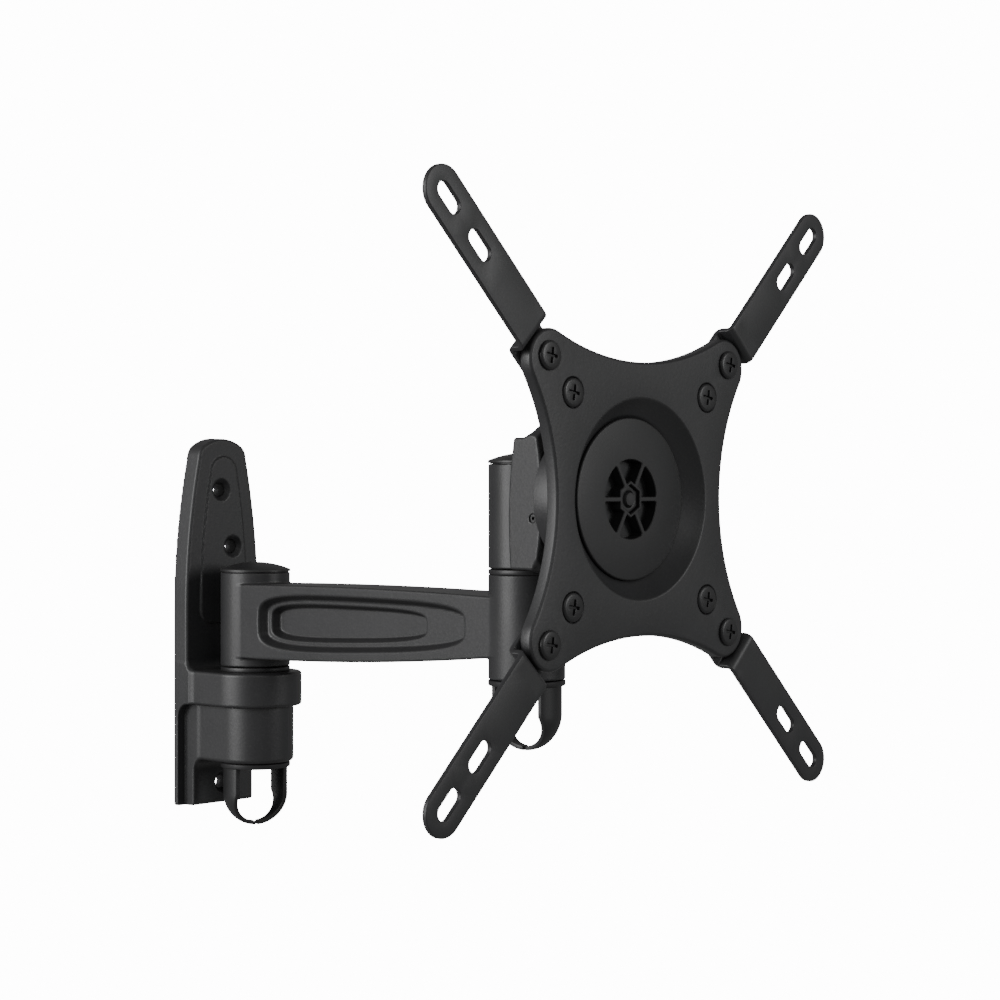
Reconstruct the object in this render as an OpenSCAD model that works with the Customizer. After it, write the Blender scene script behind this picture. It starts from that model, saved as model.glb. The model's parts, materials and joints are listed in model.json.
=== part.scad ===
// Full motion wall mount for a small flat screen.
// X runs across the wall, Y points into the wall, Z is up.
// The origin is on the wall face, on the plane of symmetry, half way up the wall plate.

/* [Wall plate] */
// Height of the wall plate
wall_h = 155.4; // [140:0.2:190]
// Width of the wall plate where it is widest
wall_w = 40.6; // [36:0.2:46]
// How much each side draws in at the top
wall_taper = 8.1; // [2:0.1:9]
// Thickness of the wall plate
wall_t = 8.3; // [6:0.1:12]
// Radius of the wall plate's top corners
wall_corner = 6.5; // [4:0.5:9]
// How far the wall plate's top edge arches up between its corners
wall_crown = 2; // [1:0.1:4]
// Height of the raised panel on the front face
panel_rise = 0.7; // [0.4:0.1:2]
// Width of the border round the raised panel
panel_border = 7.4; // [4:0.1:8]
// Radius of the holes for the wall screws
wall_hole_r = 2.9; // [2:0.1:3.6]
// Radius of the countersinks for the wall screws
wall_sink_r = 4.8; // [4:0.1:6]

/* [Pivots] */
// Distance from the wall to the first pivot axis
pivot_offset = 29; // [26:0.5:40]
// Distance between the two pivot axes
arm_len = 155; // [120:1:260]
// Outer diameter of the pivot barrels
barrel_d = 29; // [28:0.1:34]
// Height of the arm's barrel at the wall
wall_barrel_h = 39.1; // [36:0.1:50]
// Height of the arm's barrel at the elbow
elbow_barrel_h = 39.3; // [36:0.1:50]
// Height of the head's barrel
head_barrel_h = 39.2; // [36:0.1:48]
// Height of the wall hub below the first pivot
hub_h = 37.8; // [34:0.1:50]
// Radius of the collar at the top of the wall hub
hub_collar_r = 19.4; // [18:0.1:20]
// Thickness of the washer between two barrels
pivot_washer_t = 2; // [1.5:0.1:3]
// Radius of the pivot bolts
pivot_bolt_r = 5; // [4:0.1:5]
// Outer radius of the bushes in the barrels
bush_r = 7; // [6.5:0.1:8]
// Height of the domed caps above their rims
cap_dome_h = 3; // [1.5:0.1:5]

/* [Arm] */
// Thickness of the arm's slab
arm_t = 27.2; // [24:0.2:28]
// Height of the slab at the wall end
arm_h = 30.5; // [28:0.5:32]
// How far the lower edge rises towards the elbow
arm_rise = 8; // [0:0.5:9]
// Depth of the outer step of the side recess
arm_step = 4; // [2:0.5:5]

/* [Head] */
// Distance from the elbow axis to the front of the screen plate
head_reach = 56.4; // [55:0.2:75]
// Width of the head block
head_w = 43; // [40:0.5:52]
// Height of the head block
head_h = 48.4; // [46:0.2:56]
// Radius of the round flange on the head
flange_r = 31; // [28:0.5:34]
// Height of the screen plate's centre above the middle of the head block
screen_lift = 1.7; // [0:0.1:4]
// Radius of the ball surface that the screen plate tilts on
ball_r = 48; // [47:0.5:52]

/* [Screen plate] */
// Overall size of the screen plate
plate_w = 119.2; // [116:0.2:136]
// Thickness of the screen plate
plate_t = 5; // [4:0.1:6]
// Radius of the plate's corners
plate_corner = 11; // [9:0.5:12]
// Half width at the waist
plate_waist_x = 45.8; // [44:0.2:50]
// Half height at the waist
plate_waist_z = 49.4; // [46:0.2:52]
// Hole spacing of the outer screws
outer_pitch = 100; // [100:1:104]
// Hole spacing of the inner screws
inner_pitch = 75; // [72:1:80]
// Radius of the pressure disc in the bowl
disc_r = 29.5; // [27:0.5:30]
// Radius of the plate screws
plate_screw_r = 2.5; // [2:0.1:3]

/* [Extension arms] */
// Hole spacing reached by the extension arms
reach_pitch = 200; // [190:1:220]
// Height spacing of the extension arms' inner slots
short_pitch = 170.7; // [165:0.1:180]
// Width of an extension arm
ext_w = 17.1; // [13:0.1:20]
// Thickness of the extension arms' steel
ext_t = 2; // [1.5:0.1:3]
// Width of the slots
slot_w = 5.8; // [5:0.1:6.5]
// End to end length of the slots
slot_len = 12.8; // [10:0.1:16]

/* [Cable clips] */
// Radius of the cable clips' fingers
clip_r = 13.4; // [12.6:0.1:13.8]
// Thickness of the fingers
clip_t = 1.6; // [1.2:0.1:2]
// Straight length of the fingers below their ring
clip_straight = 11; // [6:0.5:20]
// Half width of the fingers at their tips
clip_tip_w = 2; // [1:0.1:5]

/* [Hidden] */
$fn = 96;

run_gap = 0.3;         // between faces that turn past each other
fit_gap = 0.05;        // radial, between a pressed or screwed piece and its hole
turn_gap = 0.06;       // radial, between a bush and the bolt that turns in it
loose_gap = 0.1;       // radial, round a bolt that passes through a plain hole
skin_gap = 0.2;        // between the ball surfaces of the tilt joint
over = 1;              // how far a cutter runs past the face that it cuts

// Wall plate outline
taper_from = 4;                            // height where the sides start to draw in
taper_run = wall_h / 2 - wall_corner / 2 - taper_from;
taper_r = (pow(taper_run, 2) + pow(wall_taper, 2)) / (2 * wall_taper);
foot_step = 5.9;                           // the lower plate is stepped back by this much
foot_flange = 4;                           // width left at the wall beside the step
panel_top = wall_h / 2 - 7.7;
panel_bottom = -1;
outline_steps = 14;
corner_from = 8;                           // where the top corners' arcs start, in degrees
panel_arc = [6, 84];                       // half of the panel's round top, in degrees
wall_holes = [                             // across, and up from the middle
    [-1.6, wall_h / 2 - 22], [4.8, wall_h / 2 - 46.2], [0, 8.9 - wall_h / 2]
];
sink_d = wall_sink_r - wall_hole_r;        // a 90 degree countersink

// Pivot stacks, from the bottom up
barrel_r = barrel_d / 2;
hub_top = -20.2;
hub_bottom = hub_top - hub_h;
hub_collar_h = 14.3;
hub_r = barrel_r + 1.5;                    // the hub below its collar
elbow_lift = 3.1;                          // the elbow barrel sits this much above the wall barrel
cap_well = 11;                             // depth of the well for the bolt head, under the cap
nut_well = 14;                             // depth of the well for the nut, over the clip
well_r = 11.6;
bush_flange_r = 10.5;
bush_flange_t = 1.5;
bush_len = 12;
spring_rim = 1;                            // the spring is this much smaller than the bush's rim
pivot_spring_t = 2;
pivot_head_h = 6.4;
pivot_nut_h = 10;
bolt_out = 1.5;                            // the bolt's end stands this far past its nut
pivot_af = 17;
cap_rim_h = 1.3;
cap_over = 0.2;
cap_plug_h = 3.5;
cap_plug_t = 1.2;
edge_cut = 0.5;                            // small chamfer on barrel and washer edges

wall_turn_z = hub_top + pivot_washer_t + run_gap;
wall_turn_top = wall_turn_z + wall_barrel_h;
elbow_z = wall_turn_z + elbow_lift;
elbow_top = elbow_z + elbow_barrel_h;
head_turn_z = elbow_top + pivot_washer_t + run_gap;
head_turn_top = head_turn_z + head_barrel_h;

wall_axis = [0, -pivot_offset, 0];
elbow_axis = [0, -pivot_offset - arm_len, 0];

// Arm slab: heights along the arm as functions of the distance from the wall pivot
arm_top = 16.4;
arm_crown = 1.15;
arm_top_drop = 0.3;
arm_bottom = arm_top - arm_h;
arm_steps = 16;
oval_power = 4.5;
outer_oval = [17.2, arm_len - 19.7, 4];    // start, end and margin to the slab's edges
inner_oval = [21, arm_len - 43.7, 7.8];

// Head
front_y = elbow_axis[1] - head_reach;      // front of the screen plate
back_y = front_y + plate_t;
ball_y = front_y - 31.2;
flange_t = 6.5;
flange_y = front_y + 29.9;
block_y = flange_y + flange_t;
block_back = 9.6;
block_z = head_turn_z + run_gap;
screen_z = block_z + head_h / 2 + screen_lift;
block_bulge = [2.5, 0, 0.8];               // how far the block's back lies forward: top, middle, bottom
bowl_t = 2.5;
liner_t = 1.4;
bowl_open_r = 17;
bowl_reach = 38;                           // radius of a round cut that is wider than the bowl's rim
liner_r = ball_r + bowl_t + skin_gap + liner_t;
liner_open_r = bowl_open_r + 0.8;
liner_edge_r = 28.5;
seat_r = liner_r + skin_gap;
seat_w = 26;                               // radius of the cup
seat_lip = 8;                              // how far the cup's lip comes forward over the ball
spigot_r = 16;
spigot_h = 5;
stud_r = 3;
stud_end_y = elbow_axis[1] - bush_flange_r - 2.6;
stud_spare = 0.5;                          // room left at the bottom of the stud's blind hole
grub_r = 1.5;
grub_z = screen_z - 7;
grub_y = flange_y + 4.2;
grub_sunk = 0.6;
grub_end = 8;                              // the screw's hole stops this far from the middle
grub_socket_d = 1.8;
disc_y = front_y + 5.2;                    // front face of the pressure disc
disc_ball_r = ball_r - run_gap;
spoke_w = 1.7;
window_r = 14.4;
hex_wall = 1.4;
tilt_af = 9.2;
tilt_nut_h = 4;
tilt_spring_t = 1.2;
tilt_spring_gap = 0.3;                     // radial, between the spring and the nut's pocket
hex_slack = 0.25;
nut_pocket = 6.4;
window_d = 4.5;

// Screen plate outline: four corner circles joined by four hollow arcs
lobe = plate_w / 2 - plate_corner;
function hollow_r(waist) =
    (pow(lobe, 2) + pow(waist - lobe, 2) - pow(plate_corner, 2)) / (2 * (plate_corner - waist + lobe));
side_r = hollow_r(plate_waist_x);
end_r = hollow_r(plate_waist_z);
side_a = atan2(lobe, plate_waist_x + side_r - lobe);
end_a = atan2(lobe, plate_waist_z + end_r - lobe);
lobe_steps = 10;
hollow_steps = 12;

// Extension arms, measured out along the diagonal
diag = sqrt(2);
inner_u = inner_pitch / 2 * diag;
outer_u = outer_pitch / 2 * diag;
slot_u = reach_pitch / 2 * diag;
short_u = short_pitch / 2 * diag;
corner_u = lobe * diag + plate_corner;
foot_u = inner_u - ext_w / 2;
jog_u = corner_u + 0.7;
slot_end = 3.5;                            // from the outer slot's middle to the tip arc's centre
tip_u = slot_u + slot_end;
ext_proud = 0.9;                           // the strips stand this far in front of the plate
pan_r = 5.25;
outer_pan_h = 1.6;
inner_pan_h = 1.9;
inner_pan_proud = 0.7;
cross_w = 1.1;
cross_len = 5.6;
cross_d = 1;
cross_turn = 10;                           // how far the crosses are turned, in degrees
pan_gap = 0.25;                            // radial, round the inner screws' heads
plate_nut_af = 8;
plate_nut_h = 4;
thread_out = 0.6;                          // a screw's end stands this far past its nut

// Cable clips
clip_flange_r = barrel_r + 0.1;
clip_flange_t = 2.2;
clip_ring_t = 1.1;
clip_ring_h = 8;
clip_ridge = 0.6;
clip_ridge_h = 1.5;
clip_half_w = clip_r / 2;
clip_mouth = 1.4;
wall_clip_turn = -17;
elbow_clip_turn = 96;

// Points of an arc, in degrees
function arc(x, y, r, from, to, steps) =
    [for (i = [0 : steps]) let (a = from + (to - from) * i / steps) [x + r * cos(a), y + r * sin(a)]];

// Half width of the wall plate at height z
function wall_half(z) =
    wall_w / 2 - (z < taper_from ? 0 : taper_r - sqrt(pow(taper_r, 2) - pow(z - taper_from, 2)));

// Right edge of a shape that follows the wall plate's sides, from z0 to z1
function wall_side(z0, z1, inset) =
    [for (i = [0 : outline_steps]) let (z = z0 + (z1 - z0) * i / outline_steps) [wall_half(z) - inset, z]];

function mirror_points(points) =
    concat(points, [for (i = [len(points) - 1 : -1 : 0]) [-points[i][0], points[i][1]]]);

// Heights of the arm's edges at distance s from the wall pivot
function slab_top(s) =
    arm_top - arm_top_drop * s / arm_len + 4 * arm_crown * s / arm_len * (1 - s / arm_len);
function slab_bottom(s) = arm_bottom + arm_rise * pow(s / arm_len, 2);

// Outline of a long oval that follows the slab: [start, end, margin]
function oval_points(o) = let (
    stations = [for (i = [0 : 2 * arm_steps]) (1 - cos(180 * i / (2 * arm_steps))) / 2],
    top = [for (t = stations) oval_point(o, t, 1)],
    bottom = [for (i = [len(stations) - 2 : -1 : 1]) oval_point(o, stations[i], -1)]
) concat(top, bottom);
function oval_point(o, t, side) = let (
    s = o[0] + (o[1] - o[0]) * t,
    middle = (slab_top(s) + slab_bottom(s)) / 2,
    half = (slab_top(s) - slab_bottom(s)) / 2 - o[2],
    round_off = pow(max(0, 1 - pow(abs(2 * t - 1), oval_power)), 1 / oval_power)
) [s, middle + side * half * round_off];

// A quarter of the screen plate's outline, from the right waist to the top waist
function plate_quarter() = concat(
    arc(plate_waist_x + side_r, 0, side_r, 180, 180 - side_a, hollow_steps),
    arc(lobe, lobe, plate_corner, -side_a, 90 + end_a, lobe_steps),
    [for (p = arc(plate_waist_z + end_r, 0, end_r, 180 - end_a, 180, hollow_steps)) [p[1], p[0]]]
);
function plate_points() = let (
    q = plate_quarter(),
    n = len(q) - 1,
    right = concat([for (i = [n : -1 : 1]) [q[i][0], -q[i][1]]], [for (i = [0 : n - 1]) q[i]])
) concat(
    [for (i = [1 : len(right) - 1]) right[i]],
    [[0, q[n][1]]],
    [for (i = [len(right) - 1 : -1 : 1]) [-right[i][0], right[i][1]]],
    [[0, -q[n][1]]]
);

// Extrudes a shape drawn in X and Z from depth y0 to depth y1
module across(y0, y1) {
    translate([0, y1, 0]) rotate([90, 0, 0]) linear_extrude(y1 - y0) children();
}

// A cylinder along Y from y0 to y1
module rod_y(r, y0, y1) {
    across(y0, y1) circle(r);
}

// A cylinder along Z from z0 to z1
module rod_z(r, z0, z1) {
    translate([0, 0, z0]) cylinder(h = z1 - z0, r = r);
}

// A turned piece on a Y axis at the screen plate's centre: points are [radius, y]
module turned_y(points) {
    translate([0, 0, screen_z]) rotate([-90, 0, 0]) rotate_extrude() polygon(points);
}

// A barrel along Z with chamfered rims
module barrel(r, z0, z1) {
    rotate_extrude() polygon([
        [0, z0], [r - edge_cut, z0], [r, z0 + edge_cut],
        [r, z1 - edge_cut], [r - edge_cut, z1], [0, z1]
    ]);
}

// The bore and the two wells of a barrel or hub
module turning_bore(z0, z1) {
    rod_z(bush_r + fit_gap, z0 - over, z1);
    rod_z(well_r, z1 - cap_well, z1 + over);
    translate([0, 0, z0 - over]) cylinder(h = over + bush_flange_t, r = bush_flange_r + fit_gap);
}
module fixed_bore(z0, z1) {
    rod_z(pivot_bolt_r + loose_gap, z0, z1 + over);
    rod_z(well_r, z0 - over, z0 + nut_well);
    snap_z = z0 + clip_ring_h - clip_ridge_h;
    rod_z(well_r + clip_ridge, snap_z - run_gap, snap_z + clip_ridge_h + run_gap);
}

// The side outline of the plate against the wall
module wall_outline() {
    top = wall_h / 2;
    drop = wall_corner + wall_crown;
    corner_z = top - drop;
    corner_x = wall_half(corner_z) - wall_corner;
    crown_r = (pow(corner_x, 2) + pow(drop, 2) - pow(wall_corner, 2)) / (2 * wall_crown);
    lean = atan(corner_x / (crown_r - drop));
    side = concat([[wall_w / 2, -top]], wall_side(taper_from, corner_z, 0));
    corner = arc(corner_x, corner_z, wall_corner, corner_from, 90 - lean, outline_steps);
    crown = arc(0, top - crown_r, crown_r, 90 - lean * (1 - 1 / outline_steps), 90, outline_steps);
    polygon(mirror_points(concat(side, corner, crown)));
}
module panel_outline() {
    corner_z = panel_top - (wall_half(panel_top) - panel_border);
    half = wall_half(corner_z) - panel_border;
    polygon(mirror_points(concat(
        wall_side(panel_bottom, corner_z, panel_border),
        arc(0, corner_z, half, panel_arc[0], panel_arc[1], outline_steps)
    )));
}

module wall_plate() color([0.16, 0.16, 0.17]) difference() {
    union() {
        across(-wall_t, 0) wall_outline();
        across(-wall_t - panel_rise, -wall_t + over) panel_outline();
        translate(wall_axis) barrel(hub_collar_r, hub_top - hub_collar_h, hub_top);
        translate([-hub_collar_r, -pivot_offset, hub_top - hub_collar_h])
            cube([2 * hub_collar_r, pivot_offset, hub_collar_h]);
        translate(wall_axis) barrel(hub_r, hub_bottom, hub_top - over);
        translate([-hub_r, -pivot_offset, hub_bottom]) cube([2 * hub_r, pivot_offset, hub_h - over]);
    }
    for (side = [-1, 1])
        translate([side * wall_w / 2, 0, 0]) across(-wall_t - over, -wall_t + foot_step) foot_cut();
    for (hole = wall_holes) translate([hole[0], 0, hole[1]]) {
        face_y = hole[1] > panel_bottom ? -wall_t - panel_rise : -wall_t;
        rod_y(wall_hole_r, face_y - over, over);
        translate([0, face_y + sink_d, 0]) rotate([90, 0, 0])
            cylinder(h = sink_d + over, r1 = wall_hole_r, r2 = wall_sink_r + over);
    }
    translate(wall_axis) fixed_bore(hub_bottom, hub_top);
}
module foot_cut() {
    translate([-foot_flange, -wall_h / 2 - over])
        square([2 * foot_flange, wall_h / 2 + over + hub_top - hub_collar_h]);
}

// Pivot pieces: each is drawn on its own axis, for a fixed barrel from z0 to z1 and a
// turning barrel that ends at z2
module pivot_bolt(z0, z2) {
    head_z = z2 - cap_well + bush_flange_t + pivot_spring_t;
    rod_z(pivot_bolt_r, z0 + nut_well - pivot_nut_h - bolt_out, head_z + over);
    translate([0, 0, head_z]) cylinder(h = pivot_head_h, r = pivot_af / 2 / cos(30), $fn = 6);
}
module pivot_nut(z0) {
    translate([0, 0, z0 + nut_well - pivot_nut_h]) difference() {
        cylinder(h = pivot_nut_h, r = pivot_af / 2 / cos(30), $fn = 6);
        rod_z(pivot_bolt_r + fit_gap, -over, pivot_nut_h + over);
    }
}
module pivot_washer(z1) {
    difference() {
        barrel(barrel_r, z1, z1 + pivot_washer_t);
        rod_z(pivot_bolt_r + loose_gap, z1 - over, z1 + pivot_washer_t + over);
    }
}
module pivot_spring(z2) {
    seat_z = z2 - cap_well + bush_flange_t;
    inner = pivot_bolt_r + fit_gap;
    rim = bush_flange_r - spring_rim;
    rotate_extrude() polygon([
        [inner, seat_z + pivot_spring_t / 2], [rim, seat_z],
        [rim, seat_z + pivot_spring_t / 2], [inner, seat_z + pivot_spring_t]
    ]);
}
module bush(z0, up) {
    difference() {
        union() {
            rod_z(bush_r, up ? z0 : z0 - bush_len, up ? z0 + bush_len : z0 + over / 2);
            rod_z(bush_flange_r, z0, z0 + bush_flange_t);
        }
        rod_z(pivot_bolt_r + turn_gap, z0 - bush_len - over, z0 + bush_len + over);
    }
}
module pivot_bushes(z1, z2) {
    bush(z1, true);
    bush(z2 - cap_well, false);
}
module pivot_cap(z2) {
    r = barrel_r + cap_over;
    dome_r = (pow(r, 2) + pow(cap_dome_h, 2)) / (2 * cap_dome_h);
    rod_z(r, z2, z2 + cap_rim_h);
    intersection() {
        translate([0, 0, z2 + cap_rim_h + cap_dome_h - dome_r]) sphere(dome_r, $fn = 180);
        rod_z(r - edge_cut, z2 + cap_rim_h / 2, z2 + cap_rim_h + cap_dome_h + over);
    }
    difference() {
        rod_z(well_r - fit_gap, z2 - cap_plug_h, z2 + cap_rim_h / 2);
        rod_z(well_r - cap_plug_t, z2 - cap_plug_h - over, z2);
    }
}

// A cable clip under a barrel whose lower face is at z0: a flange, a ring with a snap ridge that
// turns in the barrel's well, and two curved fingers that almost meet
module cable_clip(z0) {
    under = z0 - run_gap;
    low = under - clip_flange_t;
    ring_r = well_r - loose_gap;
    ridge_z = z0 + clip_ring_h;
    rotate_extrude() polygon([
        [ring_r - clip_ring_t, low], [clip_flange_r - edge_cut, low], [clip_flange_r, low + edge_cut],
        [clip_flange_r, under], [ring_r, under],
        [ring_r, ridge_z - clip_ridge_h], [ring_r + clip_ridge, ridge_z - clip_ridge_h],
        [ring_r, ridge_z], [ring_r - clip_ring_t, ridge_z]
    ]);
    bend_z = low - clip_straight;
    difference() {
        intersection() {
            difference() {
                union() {
                    rod_z(clip_r, bend_z, low + clip_flange_t / 2);
                    translate([0, 0, bend_z]) sphere(clip_r);
                }
                rod_z(clip_r - clip_t, bend_z, low + over);
                translate([0, 0, bend_z]) sphere(clip_r - clip_t);
            }
            finger_shape(bend_z, low + clip_flange_t - over);
        }
        translate([-clip_mouth / 2, -clip_r, bend_z - clip_r - over])
            cube([clip_mouth, 2 * clip_r, clip_r]);
    }
}

// The fingers seen from the side: straight down to bend_z, then narrowing to their tips
module finger_shape(bend_z, top_z) {
    tip_z = bend_z - clip_r - over;
    translate([-clip_r - over, 0, 0]) rotate([90, 0, 90]) linear_extrude(2 * (clip_r + over)) polygon([
        [-clip_half_w, bend_z], [-clip_tip_w, tip_z], [clip_tip_w, tip_z],
        [clip_half_w, bend_z], [clip_half_w, top_z], [-clip_half_w, top_z]
    ]);
}

module wall_pivot_bolt() color([0.55, 0.56, 0.58]) translate(wall_axis)
    pivot_bolt(hub_bottom, wall_turn_top);
module wall_pivot_nut() color([0.55, 0.56, 0.58]) translate(wall_axis) pivot_nut(hub_bottom);
module wall_pivot_washer() color([0.12, 0.12, 0.13]) translate(wall_axis) pivot_washer(hub_top);
module wall_pivot_spring() color([0.45, 0.45, 0.47]) translate(wall_axis) pivot_spring(wall_turn_top);
module wall_pivot_bushes() color([0.3, 0.3, 0.3]) translate(wall_axis)
    pivot_bushes(wall_turn_z, wall_turn_top);
module wall_pivot_cap() color([0.1, 0.1, 0.1]) translate(wall_axis) pivot_cap(wall_turn_top);
module wall_cable_clip() color([0.1, 0.1, 0.1]) translate(wall_axis)
    rotate([0, 0, wall_clip_turn]) cable_clip(hub_bottom);

module arm() color([0.17, 0.17, 0.18]) difference() {
    union() {
        translate(wall_axis) barrel(barrel_r, wall_turn_z, wall_turn_top);
        translate(elbow_axis) barrel(barrel_r, elbow_z, elbow_top);
        slab(arm_t / 2, slab_points());
    }
    translate(wall_axis) turning_bore(wall_turn_z, wall_turn_top);
    translate(elbow_axis) fixed_bore(elbow_z, elbow_top);
    for (side = [-1, 1]) {
        translate([side * arm_t / 2, 0, 0]) slab(arm_step, oval_points(outer_oval));
        translate([side * arm_t / 2, 0, 0]) slab(2 * arm_step, oval_points(inner_oval));
    }
}
function slab_points() = concat(
    [for (i = [0 : arm_steps]) let (s = arm_len * i / arm_steps) [s, slab_top(s)]],
    [for (i = [arm_steps : -1 : 0]) let (s = arm_len * i / arm_steps) [s, slab_bottom(s)]]
);
// Extrudes an outline drawn in distance along the arm and height, half thickness each way
module slab(half, points) {
    translate([half, -pivot_offset, 0]) rotate([90, 0, -90]) linear_extrude(2 * half) polygon(points);
}

module elbow_pivot_bolt() color([0.55, 0.56, 0.58]) translate(elbow_axis)
    pivot_bolt(elbow_z, head_turn_top);
module elbow_pivot_nut() color([0.55, 0.56, 0.58]) translate(elbow_axis) pivot_nut(elbow_z);
module elbow_pivot_washer() color([0.12, 0.12, 0.13]) translate(elbow_axis) pivot_washer(elbow_top);
module elbow_pivot_spring() color([0.45, 0.45, 0.47]) translate(elbow_axis) pivot_spring(head_turn_top);
module elbow_pivot_bushes() color([0.3, 0.3, 0.3]) translate(elbow_axis)
    pivot_bushes(head_turn_z, head_turn_top);
module elbow_pivot_cap() color([0.1, 0.1, 0.1]) translate(elbow_axis) pivot_cap(head_turn_top);
module elbow_cable_clip() color([0.1, 0.1, 0.1]) translate(elbow_axis)
    rotate([0, 0, elbow_clip_turn]) cable_clip(elbow_z);

// Head: a block on the barrel, and a round flange with flat sides that carries the tilt seat
module head_bracket() color([0.17, 0.17, 0.18]) difference() {
    union() {
        translate(elbow_axis) barrel(barrel_r, head_turn_z, head_turn_top);
        block_side();
        intersection() {
            translate([0, 0, screen_z]) rod_y(flange_r, flange_y, block_y + over);
            translate([-head_w / 2, flange_y, screen_z - flange_r])
                cube([head_w, flange_t, 2 * flange_r]);
        }
    }
    translate(elbow_axis) turning_bore(head_turn_z, head_turn_top);
    translate(elbow_axis) rod_z(barrel_r + cap_over + run_gap, head_turn_top, block_z + head_h + over);
    translate([0, 0, screen_z]) {
        rod_y(spigot_r + fit_gap, flange_y - over, flange_y + spigot_h);
        rod_y(stud_r + fit_gap, flange_y, stud_end_y);
    }
    translate([-head_w / 2 - over, grub_y, grub_z]) rotate([0, 90, 0])
        cylinder(h = head_w / 2 + over - grub_end, r = grub_r + fit_gap);
}
module block_side() {
    back = block_y + block_back;
    translate([head_w / 2, 0, 0]) rotate([90, 0, -90]) linear_extrude(head_w) polygon([
        [-block_y, block_z], [-block_y, block_z + head_h],
        [-back + block_bulge[0], block_z + head_h], [-back + block_bulge[1], block_z + head_h / 2],
        [-back + block_bulge[2], block_z]
    ]);
}

// The cup that the liner bears on, with a spigot that seats in the flange
module tilt_seat() color([0.2, 0.2, 0.21]) difference() {
    translate([0, 0, screen_z]) {
        rod_y(seat_w, ball_y + seat_r - seat_lip, flange_y);
        rod_y(spigot_r, flange_y - over, flange_y + spigot_h);
    }
    translate([0, ball_y, screen_z]) sphere(seat_r, $fn = 180);
    translate([0, 0, screen_z]) rod_y(stud_r + loose_gap, ball_y, flange_y + spigot_h + over);
}
module seat_grub_screw() color([0.3, 0.3, 0.32]) difference() {
    translate([-head_w / 2 + grub_sunk, grub_y, grub_z]) rotate([0, 90, 0])
        cylinder(h = head_w / 2 - grub_sunk - spigot_grub_x(), r = grub_r);
    translate([-head_w / 2 - over, grub_y, grub_z]) rotate([0, 90, 0])
        cylinder(h = over + grub_sunk + grub_socket_d, r = grub_r / 2, $fn = 6);
}
// Where the grub screw meets the spigot
function spigot_grub_x() = sqrt(pow(spigot_r, 2) - pow(screen_z - grub_z - grub_r, 2)) + fit_gap;

module tilt_stud() color([0.5, 0.5, 0.52]) translate([0, 0, screen_z])
    rod_y(stud_r, disc_y + run_gap, stud_end_y - stud_spare);

// A thin plastic cup between the seat and the back of the bowl
module friction_liner() color([0.75, 0.75, 0.72]) difference() {
    translate([0, ball_y, screen_z]) sphere(liner_r, $fn = 180);
    translate([0, ball_y, screen_z]) sphere(liner_r - liner_t, $fn = 180);
    translate([0, 0, screen_z]) rod_y(liner_open_r, ball_y, ball_y + liner_r + over);
    translate([0, 0, screen_z]) difference() {
        rod_y(liner_r + over, ball_y - liner_r - over, ball_y + liner_r + over);
        rod_y(liner_edge_r, ball_y, ball_y + liner_r + 2 * over);
    }
}

// The round disc that presses the plate onto the seat, with six windows and a hexagonal pocket
module pressure_disc() color([0.1, 0.1, 0.1]) translate([0, 0, screen_z]) difference() {
    intersection() {
        rod_y(disc_r, disc_y, ball_y + disc_ball_r + over);
        translate([0, ball_y, 0]) sphere(disc_ball_r, $fn = 180);
    }
    across(disc_y - over, disc_y + window_d) difference() {
        circle(window_r);
        for (i = [0 : 2]) rotate(60 * i) square([spoke_w, 2 * window_r + over], center = true);
        rotate(30) circle(tilt_af / 2 / cos(30) + hex_wall, $fn = 6);
    }
    across(disc_y - over, disc_y + nut_pocket)
        rotate(30) circle(tilt_af / 2 / cos(30) + hex_slack, $fn = 6);
    rod_y(stud_r + loose_gap, disc_y, ball_y + ball_r);
}
module tilt_spring() color([0.45, 0.45, 0.47]) translate([0, 0, screen_z]) difference() {
    rod_y(tilt_af / 2 - tilt_spring_gap, disc_y + nut_pocket - tilt_spring_t, disc_y + nut_pocket);
    rod_y(stud_r + fit_gap, disc_y, disc_y + nut_pocket + over);
}
module tilt_nut() color([0.2, 0.2, 0.2]) translate([0, 0, screen_z]) difference() {
    nut_y = disc_y + nut_pocket - tilt_spring_t;
    across(nut_y - tilt_nut_h, nut_y) rotate(30) circle(tilt_af / 2 / cos(30), $fn = 6);
    rod_y(stud_r + fit_gap, nut_y - tilt_nut_h - over, nut_y + over);
}

// Screen plate: a flat plate with hollow sides and a bowl pressed back out of its middle
module screen_plate() color([0.17, 0.17, 0.18]) translate([0, 0, screen_z]) difference() {
    union() {
        across(front_y, back_y) polygon(plate_points());
        intersection() {
            translate([0, ball_y, 0]) sphere(ball_r + bowl_t, $fn = 180);
            rod_y(bowl_reach, back_y - over, ball_y + ball_r + bowl_t + over);
        }
    }
    translate([0, ball_y, 0]) sphere(ball_r, $fn = 180);
    rod_y(bowl_open_r, front_y, ball_y + ball_r + bowl_t + over);
    at_corners(inner_pitch) {
        rod_y(plate_screw_r + loose_gap, front_y - over, back_y + over);
        rod_y(pan_r + pan_gap, front_y - over, front_y + inner_pan_h - inner_pan_proud);
    }
    at_corners(outer_pitch) rod_y(plate_screw_r + loose_gap, front_y - over, back_y + over);
}
module at_corners(pitch) {
    for (x = [-1, 1], z = [-1, 1]) translate([x * pitch / 2, 0, z * pitch / 2]) children();
}

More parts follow.
